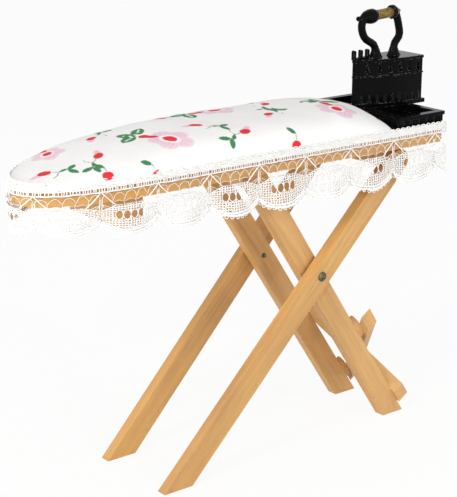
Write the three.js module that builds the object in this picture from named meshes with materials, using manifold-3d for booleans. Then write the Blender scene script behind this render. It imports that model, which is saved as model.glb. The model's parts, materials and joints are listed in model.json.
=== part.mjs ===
import * as THREE from "three";
import { mergeVertices } from "three/addons/utils/BufferGeometryUtils.js";
import Module from "manifold-3d";

const wasm = await Module();
wasm.setup();

// Board plank
const PLANK_TOP_Z = 76.8;
const PLANK_THICKNESS = 4.2;
const PLANK_UNDERSIDE_Z = PLANK_TOP_Z - PLANK_THICKNESS;
const TAIL_X = 37.8;
const TAIL_HALF_WIDTH = 16.2;
const SHOULDER_X = -48;
const SHOULDER_HALF_WIDTH = 15;
const NOSE_LENGTH = 29.4;
const NOSE_SKEW = 4;
const NOSE_STEPS = 12;
const NOSE_WIDTH_POWER = 1;
const PLANK_CORNER = 0.8;

// Place of the cast tray on the square end
const TRAY_LENGTH = 15.8;
const TRAY_OVERHANG = 0.1;
const TRAY_X0 = TAIL_X + TRAY_OVERHANG - TRAY_LENGTH;
const TRAY_SIDE_INSET = 1;
const TRAY_HALF_WIDTH = TAIL_HALF_WIDTH - TRAY_SIDE_INSET;
const TRAY_SET_NEAR = 0.9;
const TRAY_HEIGHT = 3.4;
const TRAY_TOP_Z = PLANK_TOP_Z + TRAY_HEIGHT;
const IRON_NOSE_OVERHANG = 1.3;
const IRON_NOSE_X = TRAY_X0 - IRON_NOSE_OVERHANG;

// Padding and cotton cover
const PAD_HEIGHT = 6.4;
const PAD_NOSE_RUN = 24;
const PAD_NOSE_RUN_X = SHOULDER_X + PAD_NOSE_RUN;
const PAD_NOSE_POWER = 0.95;
const PAD_END_HEIGHT = 4.7;
const COVER_END_GAP = 0.4;
const COVER_END_X = IRON_NOSE_X - COVER_END_GAP;
const PAD_END_RUN = 14;
const PAD_END_SHOULDER_X = COVER_END_X - PAD_END_RUN;
const COVER_END_ROUND = 1.2;
const COVER_END_ROUND_DROP = 0.9;
const PAD_SECTION_POWER = 3.2;
const PAD_END_SECTION_POWER = 2.4;
const SECTION_STEPS = 14;
const COVER_THICKNESS = 0.35;
const COVER_INNER_OFFSET = 0.06;
const COVER_SEAT_GAP = 0.05;
const COVER_SKIRT_DROP = 0.9;
const WADDING_GAP = 0.08;
const WADDING_INSET = 0.15;
const WADDING_FRONT_HEIGHT = 0.3;
const PAD_SPANS = 4;

// Lace trim
const LACE_RISE = 1.1;
const LACE_TOP_Z = PLANK_TOP_Z + LACE_RISE;
const LACE_DROP = 13.4;
const LACE_NOTCH_SHARE = 0.74;
const LACE_END_RUN = 4.1;
const LACE_SCALLOPS = 17;
const LACE_INNER_OFFSET = 0.62;
const LACE_THICKNESS = 0.34;
const COLUMN_STEPS = 2;
const PICOT_HEIGHT = 0.3;
const LACE_PATH_STEPS = 240;
const LACE_COLUMNS = 4;
const EYE_DEPTH_SHARE = 0.1;
const EYE_WIDTH_SHARE = 0.15;
const EYE_HEIGHT_SHARE = 0.07;
const EYE_SLANT_SHARE = 0.8;
const CELL_DEPTH_SHARE = 0.33;
const CELL_WIDTH_SHARE = 0.2;
const CELL_HEIGHT_SHARE = 0.28;
const CELL_SIDE_SHARE = 0.6;
const OVAL_DEPTH_SHARE = 0.62;
const LOW_OVAL_DEPTH_SHARE = 0.83;
const OVAL_WIDTH_SHARE = 0.14;
const OVAL_HEIGHT_SHARE = 0.14;

// Leg frames
const PIVOT_Z = 44.1;
const FRAME_A_ANGLE = THREE.MathUtils.degToRad(46.2);
const FRAME_B_ANGLE = THREE.MathUtils.degToRad(56.3);
const LEG_WIDTH = 5.76;
const LEG_THICKNESS = 2.8;
const HINGE_DROP = 3.3;
const HINGE_Z = PLANK_UNDERSIDE_Z - HINGE_DROP;
const HINGE_X = (HINGE_Z - PIVOT_Z) / Math.tan(FRAME_A_ANGLE);
const FRAME_A_SIDE_INSET = 2.05;
const FRAME_A_OUTER = TAIL_HALF_WIDTH - FRAME_A_SIDE_INSET;
const FRAME_A_TAPER_SHARE = 0.026;
const FRAME_SIDE_GAP = 0.85;
const FRAME_B_OUTER = FRAME_A_OUTER - LEG_THICKNESS - FRAME_SIDE_GAP;
const LEG_ROUND_STEPS = 8;
const TOP_BAR_SIZE = 3.3;
const RAIL_DEPTH = 4.4;
const RAIL_BELOW_AXIS = 2.1;
const RAIL_END_GAP = 0.25;
const NOSE_BLOCK_AHEAD = 4.3;
const NOSE_BLOCK_X = SHOULDER_X - NOSE_BLOCK_AHEAD;
const NOSE_BLOCK_LENGTH = 6.4;
const NOSE_BLOCK_DROP = 8;
const NOSE_BLOCK_SIDE_INSET = 5.3;
const NOSE_BLOCK_HALF_WIDTH = SHOULDER_HALF_WIDTH - NOSE_BLOCK_SIDE_INSET;
const BLOCK_CHAMFER = 0.5;

// Nails
const NAIL_RADIUS = 0.55;
const NAIL_RUNNING_CLEARANCE = 0.06;
const NAIL_HEAD_RADIUS = 1.2;
const NAIL_HEAD_HEIGHT = 0.55;
const NAIL_HEAD_EDGE = 0.2;
const NAIL_TAIL = 0.35;
const RAIL_NAIL_DEPTH = 4.5;
const RAIL_BORE_EXTRA = 0.4;
const NAIL_SIDES = 16;

// Crossed brace sticks on the back of frame B
const STICK_WIDTH = 2.85;
const STICK_DEPTH = 3.35;
const STICK_LIFT = 1.6;
const BRACE_UPPER = 22.1;
const BRACE_LOWER = 50;
const BRACE_LOWER_FAR = 52.2;
const STICK_ONE_OVERHANG = 1;
const STICK_TWO_OVERHANG = 2.4;
const STICK_ONE_NEAR = [BRACE_LOWER, -(FRAME_B_OUTER + STICK_ONE_OVERHANG)];
const STICK_ONE_FAR = [BRACE_UPPER, FRAME_B_OUTER];
const STICK_TWO_NEAR = [BRACE_UPPER, -(FRAME_B_OUTER + STICK_TWO_OVERHANG)];
const STICK_TWO_FAR = [BRACE_LOWER_FAR, FRAME_B_OUTER];
const STICK_ONE_CORNER_CUT = 1.2;
const LAP_CLEARANCE = 0.04;
const SPACER_HALF_LENGTH = 3.5;
const SPACER_HALF_WIDTH = 1.6;
const SPACER_UP = 3;
const SPACER_SIDES = 20;

// Cast tray
const TRAY_RIM_PLATE = 0.9;
const TRAY_RECESS_DEPTH = 2;
const TRAY_RIM_WIDE = 3;
const TRAY_RIM_NARROW = 1.7;
const TRAY_FLARE = 0.12;
const TRAY_LOBES_SHORT = 6;
const TRAY_LOBES_LONG = 12;
const TRAY_LOBE_DEPTH_SHARE = 0.42;
const TRAY_LOBE_LIFT = 0.45;
const TRAY_LOBE_SIDES = 8;

// Box iron
const IRON_LENGTH = 21.2;
const IRON_CURVE_SHARE = 1.25;
const IRON_CURVE_POWER = 0.8;
const IRON_CURVE_STEPS = 12;
const SLOPE_STEP_SHARE = 0.01;
const SOLE_HALF_WIDTH = 5.1;
const SOLE_THICKNESS = 1;
const SOLE_BODY_INSET = 0.6;
const BODY_HALF_WIDTH = 4.45;
const BODY_HEIGHT = 10.3;
const SOLE_TOP_Z = TRAY_TOP_Z + SOLE_THICKNESS;
const BODY_TOP_Z = SOLE_TOP_Z + BODY_HEIGHT;
const LID_THICKNESS = 0.7;
const LID_OVERHANG = 0.18;
const LEDGE_DROP = 3.4;
const LEDGE_Z = BODY_TOP_Z - LEDGE_DROP;
const LEDGE_PROUD = 0.18;
const LEDGE_HEIGHT = 0.35;
const VENTS = 6;
const VENT_WIDTH = 1.35;
const VENT_HEIGHT = 2.5;
const VENT_RISE = 0.6;
const VENT_BASE_Z = LEDGE_Z + VENT_RISE;
const VENT_DEPTH = 0.45;
const VENT_START_SHARE = 0.17;
const VENT_END_SHARE = 0.92;
const FOOT_LOBES = 9;
const FOOT_LOBE_RADIUS = 0.85;
const FOOT_LOBE_PROUD = 0.3;
const FOOT_LOBE_HEIGHT = 2.1;
const FOOT_LOBE_START_SHARE = 0.1;
const FOOT_LOBE_END_SHARE = 0.94;
const COMB_TEETH = 3;
const COMB_SET_BACK = 0.55;
const COMB_START_X = IRON_NOSE_X + COMB_SET_BACK;
const COMB_WIDTH = 0.85;
const COMB_DEPTH = 0.9;
const COMB_HEIGHT = 2.35;
const COMB_BASE_HEIGHT = 0.5;
const COMB_FOOT_GAP = 0.3;

// Iron handle
const LID_TOP_Z = BODY_TOP_Z + LID_THICKNESS;
const HANDLE_SET_BACK = 1.6;
const HANDLE_FRONT_X = IRON_NOSE_X + HANDLE_SET_BACK;
const HANDLE_RISE = 10;
const HANDLE_FRONT_Z = LID_TOP_Z + HANDLE_RISE;
const HANDLE_TILT = THREE.MathUtils.degToRad(4);
const KNOB_RADIUS = 0.62;
const KNOB_LENGTH = 1.1;
const KNOB_NECK_RADIUS = 0.45;
const FERRULE_LENGTH = 5.3;
const FERRULE_RADIUS = 1.85;
const FERRULE_MID_RADIUS = 1.5;
const FERRULE_END_RADIUS = 1.45;
const FERRULE_WIDEST_SHARE = 0.6;
const SLEEVE_LENGTH = 5.3;
const SLEEVE_RADIUS = 1.25;
const ROD_RADIUS = 0.55;
const ROD_END_GAP = 0.3;
const ROD_SEAT = 1.2;
const CAP_LENGTH = 3.1;
const CAP_RADIUS = 1.75;
const CAP_RIM = 0.8;
const CAP_TIP_RADIUS = 0.25;
const TURN_SIDES = 16;
const POST_RADIUS = 0.98;
const POST_SIDES = 8;
const POST_STEPS = 12;
const HANDLE_LENGTH = KNOB_LENGTH + FERRULE_LENGTH + SLEEVE_LENGTH + CAP_LENGTH;
const POST_FRONT_SHARES = [
  [0.453, 0.04],
  [0.42, 0.28],
  [0.19, 0.51],
  [0.115, 0.78],
  [0.155, 1],
];
const POST_REAR_SHARES = [
  [0.878, 0.04],
  [0.892, 0.255],
  [1, 0.44],
  [0.973, 0.68],
  [0.9, 0.97],
];
const FOOT_FLARE_RADIUS = 2.1;
const FOOT_FLARE_HEIGHT = 2.2;
const FOOT_NECK_RADIUS = 1.1;
const FOOT_FLAT_SHARE = 0.75;

// Looks
const WOOD = { color: 0xd6a266, roughness: 0.6, metalness: 0 };
const COTTON = { color: 0xf6f4ef, roughness: 0.9, metalness: 0 };
const LACE = { color: 0xfbfbf8, roughness: 0.9, metalness: 0 };
const IRON_BLACK = { color: 0x17181a, roughness: 0.25, metalness: 0 };
const BRASS = { color: 0xc2a050, roughness: 0.35, metalness: 1 };
const NAIL_METAL = { color: 0x6b6147, roughness: 0.4, metalness: 1 };
const FELT = { color: 0xf2efe6, roughness: 0.95, metalness: 0 };

const root = new THREE.Group();
root.name = "dollhouse_ironing_board";

function add(name, geometry, look) {
  const material = new THREE.MeshStandardMaterial(look);
  const mesh = new THREE.Mesh(geometry, material);
  mesh.name = name;
  root.add(mesh);
}

function solid(geometry) {
  const bare = geometry.index ? geometry.toNonIndexed() : geometry.clone();
  bare.deleteAttribute("normal");
  bare.deleteAttribute("uv");
  const welded = mergeVertices(bare);
  const source = welded.index.array;
  const kept = [];
  for (let i = 0; i < source.length; i += 3) {
    const a = source[i];
    const b = source[i + 1];
    const c = source[i + 2];
    if (a !== b && b !== c && a !== c) {
      kept.push(a, b, c);
    }
  }
  return new wasm.Manifold(
    new wasm.Mesh({
      numProp: 3,
      vertProperties: new Float32Array(welded.attributes.position.array),
      triVerts: new Uint32Array(kept),
    }),
  );
}

function surface(body) {
  const mesh = body.getMesh();
  const geometry = new THREE.BufferGeometry();
  geometry.setAttribute("position", new THREE.BufferAttribute(new Float32Array(mesh.vertProperties), 3));
  geometry.setIndex(new THREE.BufferAttribute(new Uint32Array(mesh.triVerts), 1));
  const flat = geometry.toNonIndexed();
  flat.computeVertexNormals();
  return flat;
}

function box(x0, x1, y0, y1, z0, z1) {
  const geometry = new THREE.BoxGeometry(x1 - x0, y1 - y0, z1 - z0);
  geometry.translate((x0 + x1) / 2, (y0 + y1) / 2, (z0 + z1) / 2);
  return geometry;
}

// A flat outline in X and Z made into a slab between two Y values
function slab(points, y0, y1) {
  const shape = new THREE.Shape(points.map(([x, z]) => new THREE.Vector2(x, z)));
  const geometry = new THREE.ExtrudeGeometry(shape, { depth: y1 - y0, bevelEnabled: false, steps: 1 });
  geometry.rotateX(Math.PI / 2);
  geometry.translate(0, y1, 0);
  return geometry;
}

// A flat outline in X and Y made into a plate between two heights
function plate(points, z0, z1) {
  const shape = new THREE.Shape(points.map(([x, y]) => new THREE.Vector2(x, y)));
  const geometry = new THREE.ExtrudeGeometry(shape, { depth: z1 - z0, bevelEnabled: false, steps: 1 });
  geometry.translate(0, 0, z0);
  return geometry;
}

function rodAlongY(radius, x, z, y0, y1, sides) {
  const geometry = new THREE.CylinderGeometry(radius, radius, y1 - y0, sides);
  geometry.translate(x, (y0 + y1) / 2, z);
  return geometry;
}

// Half width of the board at a distance along it
function noseTurn(step) {
  return (step / NOSE_STEPS) * (Math.PI / 2);
}

function plankStations() {
  const stations = [];
  for (let i = 0; i <= NOSE_STEPS; i += 1) {
    const turn = noseTurn(i);
    stations.push({
      x: SHOULDER_X - NOSE_LENGTH * Math.cos(turn),
      half: SHOULDER_HALF_WIDTH * Math.pow(Math.sin(turn), NOSE_WIDTH_POWER),
      out: [-Math.cos(turn), Math.sin(turn)],
    });
  }
  return stations;
}

function straightHalf(x) {
  const share = (x - SHOULDER_X) / (TAIL_X - SHOULDER_X);
  return SHOULDER_HALF_WIDTH + (TAIL_HALF_WIDTH - SHOULDER_HALF_WIDTH) * share;
}

// Outline of the board grown outwards, as stations from the nose to the given end
function grown(offset, xs) {
  const nose = plankStations().map((s) => [s.x + s.out[0] * offset, s.half + s.out[1] * offset]);
  const straight = xs.map((x) => [x, straightHalf(x) + offset]);
  return nose.concat(straight);
}

function plankGeometry() {
  const side = grown(0, [TAIL_X - PLANK_CORNER]);
  const near = side.map(([x, y]) => [x, -y]);
  const corner = [[TAIL_X, -(TAIL_HALF_WIDTH - PLANK_CORNER)], [TAIL_X, TAIL_HALF_WIDTH - PLANK_CORNER]];
  const far = side.slice(1).reverse();
  return plate(near.concat(corner, far), PLANK_UNDERSIDE_Z, PLANK_TOP_Z);
}

// The nose leans towards the near side: everything round it is shifted by the same amount
function skewed(geometry) {
  const places = geometry.attributes.position;
  for (let i = 0; i < places.count; i += 1) {
    const ahead = Math.max((SHOULDER_X - places.getX(i)) / NOSE_LENGTH, 0);
    places.setY(i, places.getY(i) - NOSE_SKEW * ahead * ahead);
  }
  return geometry;
}

// Height of the padding's crown along the board
function crown(x) {
  const noseTip = SHOULDER_X - NOSE_LENGTH;
  if (x < PAD_NOSE_RUN_X) {
    const run = Math.min((PAD_NOSE_RUN_X - x) / (PAD_NOSE_RUN_X - noseTip), 1);
    return PAD_HEIGHT * Math.pow(Math.max(1 - run * run, 0), PAD_NOSE_POWER);
  }
  if (x > PAD_END_SHOULDER_X) {
    const run = Math.min((x - PAD_END_SHOULDER_X) / (COVER_END_X - PAD_END_SHOULDER_X), 1);
    return PAD_HEIGHT + (PAD_END_HEIGHT - PAD_HEIGHT) * run * run;
  }
  return PAD_HEIGHT;
}

// The section is fullest along the board and flatter at its square end
function sectionPower(x) {
  const run = Math.min(Math.max((x - PAD_END_SHOULDER_X) / PAD_END_RUN, 0), 1);
  return PAD_SECTION_POWER + (PAD_END_SECTION_POWER - PAD_SECTION_POWER) * run;
}

// Rows of a section across the board: half width, crown height, foot of the skirt
function section(x, half, height, baseZ, skirtZ) {
  const rows = [];
  const power = sectionPower(x);
  if (skirtZ !== null) {
    rows.push([x, -half, skirtZ]);
  }
  for (let j = 0; j <= SECTION_STEPS; j += 1) {
    const turn = -Math.PI / 2 + (j / SECTION_STEPS) * Math.PI;
    const across = Math.sign(turn) * Math.pow(Math.abs(Math.sin(turn)), 2 / power);
    const up = Math.pow(Math.max(Math.cos(turn), 0), 2 / power);
    rows.push([x, across * half, baseZ + height * up]);
  }
  if (skirtZ !== null) {
    rows.push([x, half, skirtZ]);
  }
  return rows;
}

function loftSections(offset, drop, baseZ, skirtZ, endBack) {
  const roundStart = COVER_END_X - COVER_END_ROUND;
  const xs = [PAD_NOSE_RUN_X];
  const span = PAD_END_SHOULDER_X - PAD_NOSE_RUN_X;
  for (let i = 1; i <= PAD_SPANS; i += 1) {
    xs.push(PAD_NOSE_RUN_X + (span * i) / PAD_SPANS);
  }
  xs.push((PAD_END_SHOULDER_X + roundStart) / 2, roundStart, COVER_END_X);
  const outline = grown(offset, xs);
  return outline.map(([x, half], i) => {
    const last = i === outline.length - 1;
    const along = last ? x - endBack : x;
    const full = crown(Math.max(x, SHOULDER_X - NOSE_LENGTH));
    const rounded = last ? COVER_END_ROUND_DROP : 0;
    return section(along, half, Math.max(full - drop - rounded, 0), baseZ, skirtZ);
  });
}

function quadInto(list, a, b, c, d) {
  list.push(a, b, c, a, c, d);
}

function meshOf(triangles) {
  const values = [];
  for (const point of triangles) {
    values.push(point[0], point[1], point[2]);
  }
  const geometry = new THREE.BufferGeometry();
  geometry.setAttribute("position", new THREE.Float32BufferAttribute(values, 3));
  return geometry;
}

function skin(list, rows, flip) {
  for (let i = 0; i + 1 < rows.length; i += 1) {
    for (let j = 0; j + 1 < rows[i].length; j += 1) {
      const [a, b, c, d] = [rows[i][j], rows[i + 1][j], rows[i + 1][j + 1], rows[i][j + 1]];
      if (flip) {
        quadInto(list, a, d, c, b);
      } else {
        quadInto(list, a, b, c, d);
      }
    }
  }
}

function endCap(list, row, from, flip) {
  const last = row.length - 1;
  for (let j = from; j < last - j - 1; j += 1) {
    const [a, b, c, d] = [row[j], row[last - j], row[last - j - 1], row[j + 1]];
    if (flip) {
      quadInto(list, a, d, c, b);
    } else {
      quadInto(list, a, b, c, d);
    }
  }
}

function coverGeometry() {
  const skirtZ = PLANK_TOP_Z - COVER_SKIRT_DROP;
  const baseZ = PLANK_TOP_Z + COVER_SEAT_GAP;
  const outerOffset = COVER_INNER_OFFSET + COVER_THICKNESS;
  const outer = loftSections(outerOffset, 0, baseZ, skirtZ, 0);
  const inner = loftSections(COVER_INNER_OFFSET, COVER_THICKNESS, baseZ, skirtZ, COVER_THICKNESS);
  const list = [];
  skin(list, outer, false);
  skin(list, inner, true);
  endCap(list, outer[outer.length - 1], 1, false);
  endCap(list, inner[inner.length - 1], 1, true);
  const rim = [];
  const count = outer.length;
  const last = outer[0].length - 1;
  for (let i = 0; i < count; i += 1) {
    rim.push([outer[i][0], inner[i][0]]);
  }
  rim.push([outer[count - 1][1], inner[count - 1][1]]);
  rim.push([outer[count - 1][last - 1], inner[count - 1][last - 1]]);
  for (let i = count - 1; i >= 0; i -= 1) {
    rim.push([outer[i][last], inner[i][last]]);
  }
  for (let k = 0; k + 1 < rim.length; k += 1) {
    quadInto(list, rim[k][0], rim[k][1], rim[k + 1][1], rim[k + 1][0]);
  }
  return meshOf(list);
}

function waddingGeometry() {
  const baseZ = PLANK_TOP_Z;
  const drop = COVER_THICKNESS + WADDING_GAP - COVER_SEAT_GAP;
  const endBack = COVER_THICKNESS + WADDING_INSET;
  const all = loftSections(-WADDING_INSET, drop, baseZ, null, endBack);
  const crest = SECTION_STEPS / 2;
  const rows = all.filter((row) => row[crest][2] > baseZ + WADDING_FRONT_HEIGHT);
  const list = [];
  skin(list, rows, false);
  endCap(list, rows[0], 0, true);
  endCap(list, rows[rows.length - 1], 0, false);
  for (let i = 0; i + 1 < rows.length; i += 1) {
    const last = rows[i].length - 1;
    quadInto(list, rows[i][0], rows[i][last], rows[i + 1][last], rows[i + 1][0]);
  }
  return meshOf(list);
}

// Path of the lace round the board: points and outward directions by running length
function lacePath() {
  const fine = [];
  const steps = LACE_PATH_STEPS;
  fine.push([TAIL_X, -TAIL_HALF_WIDTH]);
  for (let i = steps; i >= 0; i -= 1) {
    const turn = (i / steps) * (Math.PI / 2);
    const half = SHOULDER_HALF_WIDTH * Math.pow(Math.sin(turn), NOSE_WIDTH_POWER);
    fine.push([SHOULDER_X - NOSE_LENGTH * Math.cos(turn), -half]);
  }
  for (let i = 1; i <= steps; i += 1) {
    const turn = (i / steps) * (Math.PI / 2);
    const half = SHOULDER_HALF_WIDTH * Math.pow(Math.sin(turn), NOSE_WIDTH_POWER);
    fine.push([SHOULDER_X - NOSE_LENGTH * Math.cos(turn), half]);
  }
  fine.push([TAIL_X, TAIL_HALF_WIDTH]);
  const lengths = [0];
  for (let i = 1; i < fine.length; i += 1) {
    lengths.push(lengths[i - 1] + Math.hypot(fine[i][0] - fine[i - 1][0], fine[i][1] - fine[i - 1][1]));
  }
  const normals = fine.map((point, i) => {
    const before = fine[Math.max(i - 1, 0)];
    const after = fine[Math.min(i + 1, fine.length - 1)];
    const dx = after[0] - before[0];
    const dy = after[1] - before[1];
    const size = Math.hypot(dx, dy);
    return [-dy / size, dx / size];
  });
  const total = lengths[lengths.length - 1];
  function at(run, offset, z) {
    let low = 0;
    let high = lengths.length - 1;
    while (high - low > 1) {
      const middle = Math.floor((low + high) / 2);
      if (lengths[middle] <= run) {
        low = middle;
      } else {
        high = middle;
      }
    }
    const share = (run - lengths[low]) / (lengths[high] - lengths[low]);
    const x = fine[low][0] + (fine[high][0] - fine[low][0]) * share;
    const y = fine[low][1] + (fine[high][1] - fine[low][1]) * share;
    const nx = normals[low][0] + (normals[high][0] - normals[low][0]) * share;
    const ny = normals[low][1] + (normals[high][1] - normals[low][1]) * share;
    const size = Math.hypot(nx, ny);
    return [x + (nx / size) * offset, y + (ny / size) * offset, z];
  }
  return { total, at };
}

// Depth of the scalloped edge at a share of one repeat
function scallopDepth(share) {
  const bulge = Math.sqrt(Math.max(1 - (2 * share - 1) * (2 * share - 1), 0));
  return LACE_NOTCH_SHARE + (1 - LACE_NOTCH_SHARE) * bulge;
}

// One column of a lace repeat: its outline and its gaps
function laceColumn(start, length, column) {
  const top = [];
  const bottom = [];
  for (let i = 0; i <= COLUMN_STEPS; i += 1) {
    const share = (column + i / COLUMN_STEPS) / LACE_COLUMNS;
    top.push([start + length * share, LACE_TOP_Z + (i % 2) * PICOT_HEIGHT]);
    bottom.push([start + length * share, LACE_TOP_Z - LACE_DROP * scallopDepth(share)]);
  }
  const centre = (column + 1 / 2) / LACE_COLUMNS;
  const gap = (depth, width, height, points) =>
    points.map(([u, v]) => [
      start + length * (centre + (u * width) / 2),
      LACE_TOP_Z - LACE_DROP * (depth + (v * height) / 2),
    ]);
  const side = CELL_SIDE_SHARE;
  const eye = [[-1, -EYE_SLANT_SHARE], [1, -1], [1, EYE_SLANT_SHARE], [-1, 1]];
  const cell = [[0, -1], [1, -side], [1, side], [0, 1], [-1, side], [-1, -side]];
  const diamond = [[-1, 0], [0, -1], [1, 0], [0, 1]];
  const holes = [
    gap(EYE_DEPTH_SHARE, EYE_WIDTH_SHARE, EYE_HEIGHT_SHARE, eye),
    gap(CELL_DEPTH_SHARE, CELL_WIDTH_SHARE, CELL_HEIGHT_SHARE, cell),
    gap(OVAL_DEPTH_SHARE, OVAL_WIDTH_SHARE, OVAL_HEIGHT_SHARE, diamond),
  ];
  const inner = column > 0 && column + 1 < LACE_COLUMNS;
  if (inner) {
    holes.push(gap(LOW_OVAL_DEPTH_SHARE, OVAL_WIDTH_SHARE, OVAL_HEIGHT_SHARE, diamond));
  }
  return { top, bottom, holes };
}

function laceEnd(start, length) {
  const low = LACE_TOP_Z - LACE_DROP * LACE_NOTCH_SHARE;
  const ends = [start, start + length];
  return { top: ends.map((u) => [u, LACE_TOP_Z]), bottom: ends.map((u) => [u, low]), holes: [] };
}

function laceGeometry() {
  const path = lacePath();
  const repeat = (path.total - 2 * LACE_END_RUN) / LACE_SCALLOPS;
  const pieces = [laceEnd(0, LACE_END_RUN)];
  for (let k = 0; k < LACE_SCALLOPS; k += 1) {
    for (let column = 0; column < LACE_COLUMNS; column += 1) {
      pieces.push(laceColumn(LACE_END_RUN + repeat * k, repeat, column));
    }
  }
  pieces.push(laceEnd(path.total - LACE_END_RUN, LACE_END_RUN));
  const list = [];
  const front = (p) => path.at(p[0], LACE_INNER_OFFSET + LACE_THICKNESS, p[1]);
  const back = (p) => path.at(p[0], LACE_INNER_OFFSET, p[1]);
  pieces.forEach((piece, index) => {
    const contour = piece.top.concat(piece.bottom.slice().reverse());
    const outline = contour.map((p) => new THREE.Vector2(p[0], p[1]));
    const gaps = piece.holes.map((hole) => hole.map((p) => new THREE.Vector2(p[0], p[1])));
    const faces = THREE.ShapeUtils.triangulateShape(outline, gaps);
    const all = contour.concat(...piece.holes);
    for (const [a, b, c] of faces) {
      const [pa, pb, pc] = [all[a], all[b], all[c]];
      const turn = (pb[0] - pa[0]) * (pc[1] - pa[1]) - (pb[1] - pa[1]) * (pc[0] - pa[0]);
      const ordered = turn > 0 ? [pa, pb, pc] : [pa, pc, pb];
      list.push(front(ordered[0]), front(ordered[2]), front(ordered[1]));
      list.push(back(ordered[0]), back(ordered[1]), back(ordered[2]));
    }
    function wall(p, q) {
      quadInto(list, front(q), front(p), back(p), back(q));
    }
    for (let i = 0; i + 1 < piece.top.length; i += 1) {
      wall(piece.top[i], piece.top[i + 1]);
      wall(piece.bottom[i + 1], piece.bottom[i]);
    }
    if (index === 0) {
      wall(piece.bottom[0], piece.top[0]);
    }
    if (index === pieces.length - 1) {
      wall(piece.top[piece.top.length - 1], piece.bottom[piece.bottom.length - 1]);
    }
    for (const hole of piece.holes) {
      let area = 0;
      hole.forEach((p, i) => {
        const q = hole[(i + 1) % hole.length];
        area += p[0] * q[1] - q[0] * p[1];
      });
      const ring = area > 0 ? hole : hole.slice().reverse();
      ring.forEach((p, i) => wall(p, ring[(i + 1) % ring.length]));
    }
  });
  return meshOf(list);
}

// A leg seen from the side: rounded at the top, cut level at the foot
function legOutline(angle, lean, topX, topZ) {
  const along = [lean * Math.cos(angle), Math.sin(angle)];
  const across = [Math.sin(angle), -lean * Math.cos(angle)];
  const halfWidth = LEG_WIDTH / 2;
  const points = [];
  for (const side of [-1, 1]) {
    const x = topX + side * across[0] * halfWidth;
    const z = topZ + side * across[1] * halfWidth;
    const down = z / along[1];
    points.push([x - along[0] * down, 0]);
  }
  const start = Math.atan2(across[1], across[0]);
  for (let i = 0; i <= LEG_ROUND_STEPS; i += 1) {
    const turn = start + (i / LEG_ROUND_STEPS) * Math.PI;
    points.push([topX + halfWidth * Math.cos(turn), topZ + halfWidth * Math.sin(turn)]);
  }
  return points;
}

function lean(geometry, side) {
  const position = geometry.attributes.position;
  for (let i = 0; i < position.count; i += 1) {
    const spread = side * FRAME_A_TAPER_SHARE * (position.getZ(i) - PIVOT_Z);
    position.setY(i, position.getY(i) + spread);
  }
  return geometry;
}

function sidePair(side, inner, outer) {
  return side < 0 ? [-outer, -inner] : [inner, outer];
}

function legA(side) {
  const outline = legOutline(FRAME_A_ANGLE, 1, HINGE_X, HINGE_Z);
  const [y0, y1] = sidePair(side, FRAME_A_OUTER - LEG_THICKNESS, FRAME_A_OUTER);
  let body = solid(lean(slab(outline, y0, y1), side));
  const reach = 2 * LEG_THICKNESS;
  const fixed = NAIL_RADIUS;
  const running = NAIL_RADIUS + NAIL_RUNNING_CLEARANCE;
  body = body.subtract(solid(rodAlongY(fixed, 0, PIVOT_Z, y0 - reach, y1 + reach, NAIL_SIDES)));
  body = body.subtract(solid(rodAlongY(running, HINGE_X, HINGE_Z, y0 - reach, y1 + reach, NAIL_SIDES)));
  return surface(body);
}

function legB(side) {
  const topX = -(HINGE_Z - PIVOT_Z) / Math.tan(FRAME_B_ANGLE);
  const outline = legOutline(FRAME_B_ANGLE, -1, topX, HINGE_Z);
  const [y0, y1] = sidePair(side, FRAME_B_OUTER - LEG_THICKNESS, FRAME_B_OUTER);
  const running = NAIL_RADIUS + NAIL_RUNNING_CLEARANCE;
  const reach = LEG_THICKNESS;
  let body = solid(slab(outline, y0, y1));
  body = body.subtract(solid(rodAlongY(running, 0, PIVOT_Z, y0 - reach, y1 + reach, NAIL_SIDES)));
  return surface(body);
}

function chamfered(x0, x1, y0, y1, z0, z1) {
  const c = BLOCK_CHAMFER;
  const outline = [
    [x0, z0 + c],
    [x0 + c, z0],
    [x1 - c, z0],
    [x1, z0 + c],
    [x1, z1],
    [x0, z1],
  ];
  return slab(outline, y0, y1);
}

// Square bar across the rounded tops of frame B, turned with the legs
function topBarB() {
  const topX = -(HINGE_Z - PIVOT_Z) / Math.tan(FRAME_B_ANGLE);
  const width = 2 * (FRAME_B_OUTER - LEG_THICKNESS);
  const geometry = new THREE.BoxGeometry(TOP_BAR_SIZE, width, TOP_BAR_SIZE);
  geometry.rotateY(FRAME_B_ANGLE);
  geometry.translate(topX, 0, HINGE_Z);
  return geometry;
}

function hingeRail() {
  const innerAtHinge = FRAME_A_OUTER - LEG_THICKNESS + FRAME_A_TAPER_SHARE * (HINGE_Z - PIVOT_Z);
  const half = innerAtHinge - RAIL_END_GAP;
  const z0 = HINGE_Z - RAIL_BELOW_AXIS;
  const x0 = HINGE_X - RAIL_DEPTH / 2;
  const x1 = HINGE_X + RAIL_DEPTH / 2;
  let body = solid(chamfered(x0, x1, -half, half, z0, PLANK_UNDERSIDE_Z));
  const bore = NAIL_RADIUS;
  const depth = RAIL_NAIL_DEPTH + RAIL_BORE_EXTRA;
  const reach = LEG_THICKNESS;
  body = body.subtract(solid(rodAlongY(bore, HINGE_X, HINGE_Z, -half - reach, -half + depth, NAIL_SIDES)));
  body = body.subtract(solid(rodAlongY(bore, HINGE_X, HINGE_Z, half - depth, half + reach, NAIL_SIDES)));
  return surface(body);
}

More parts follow.
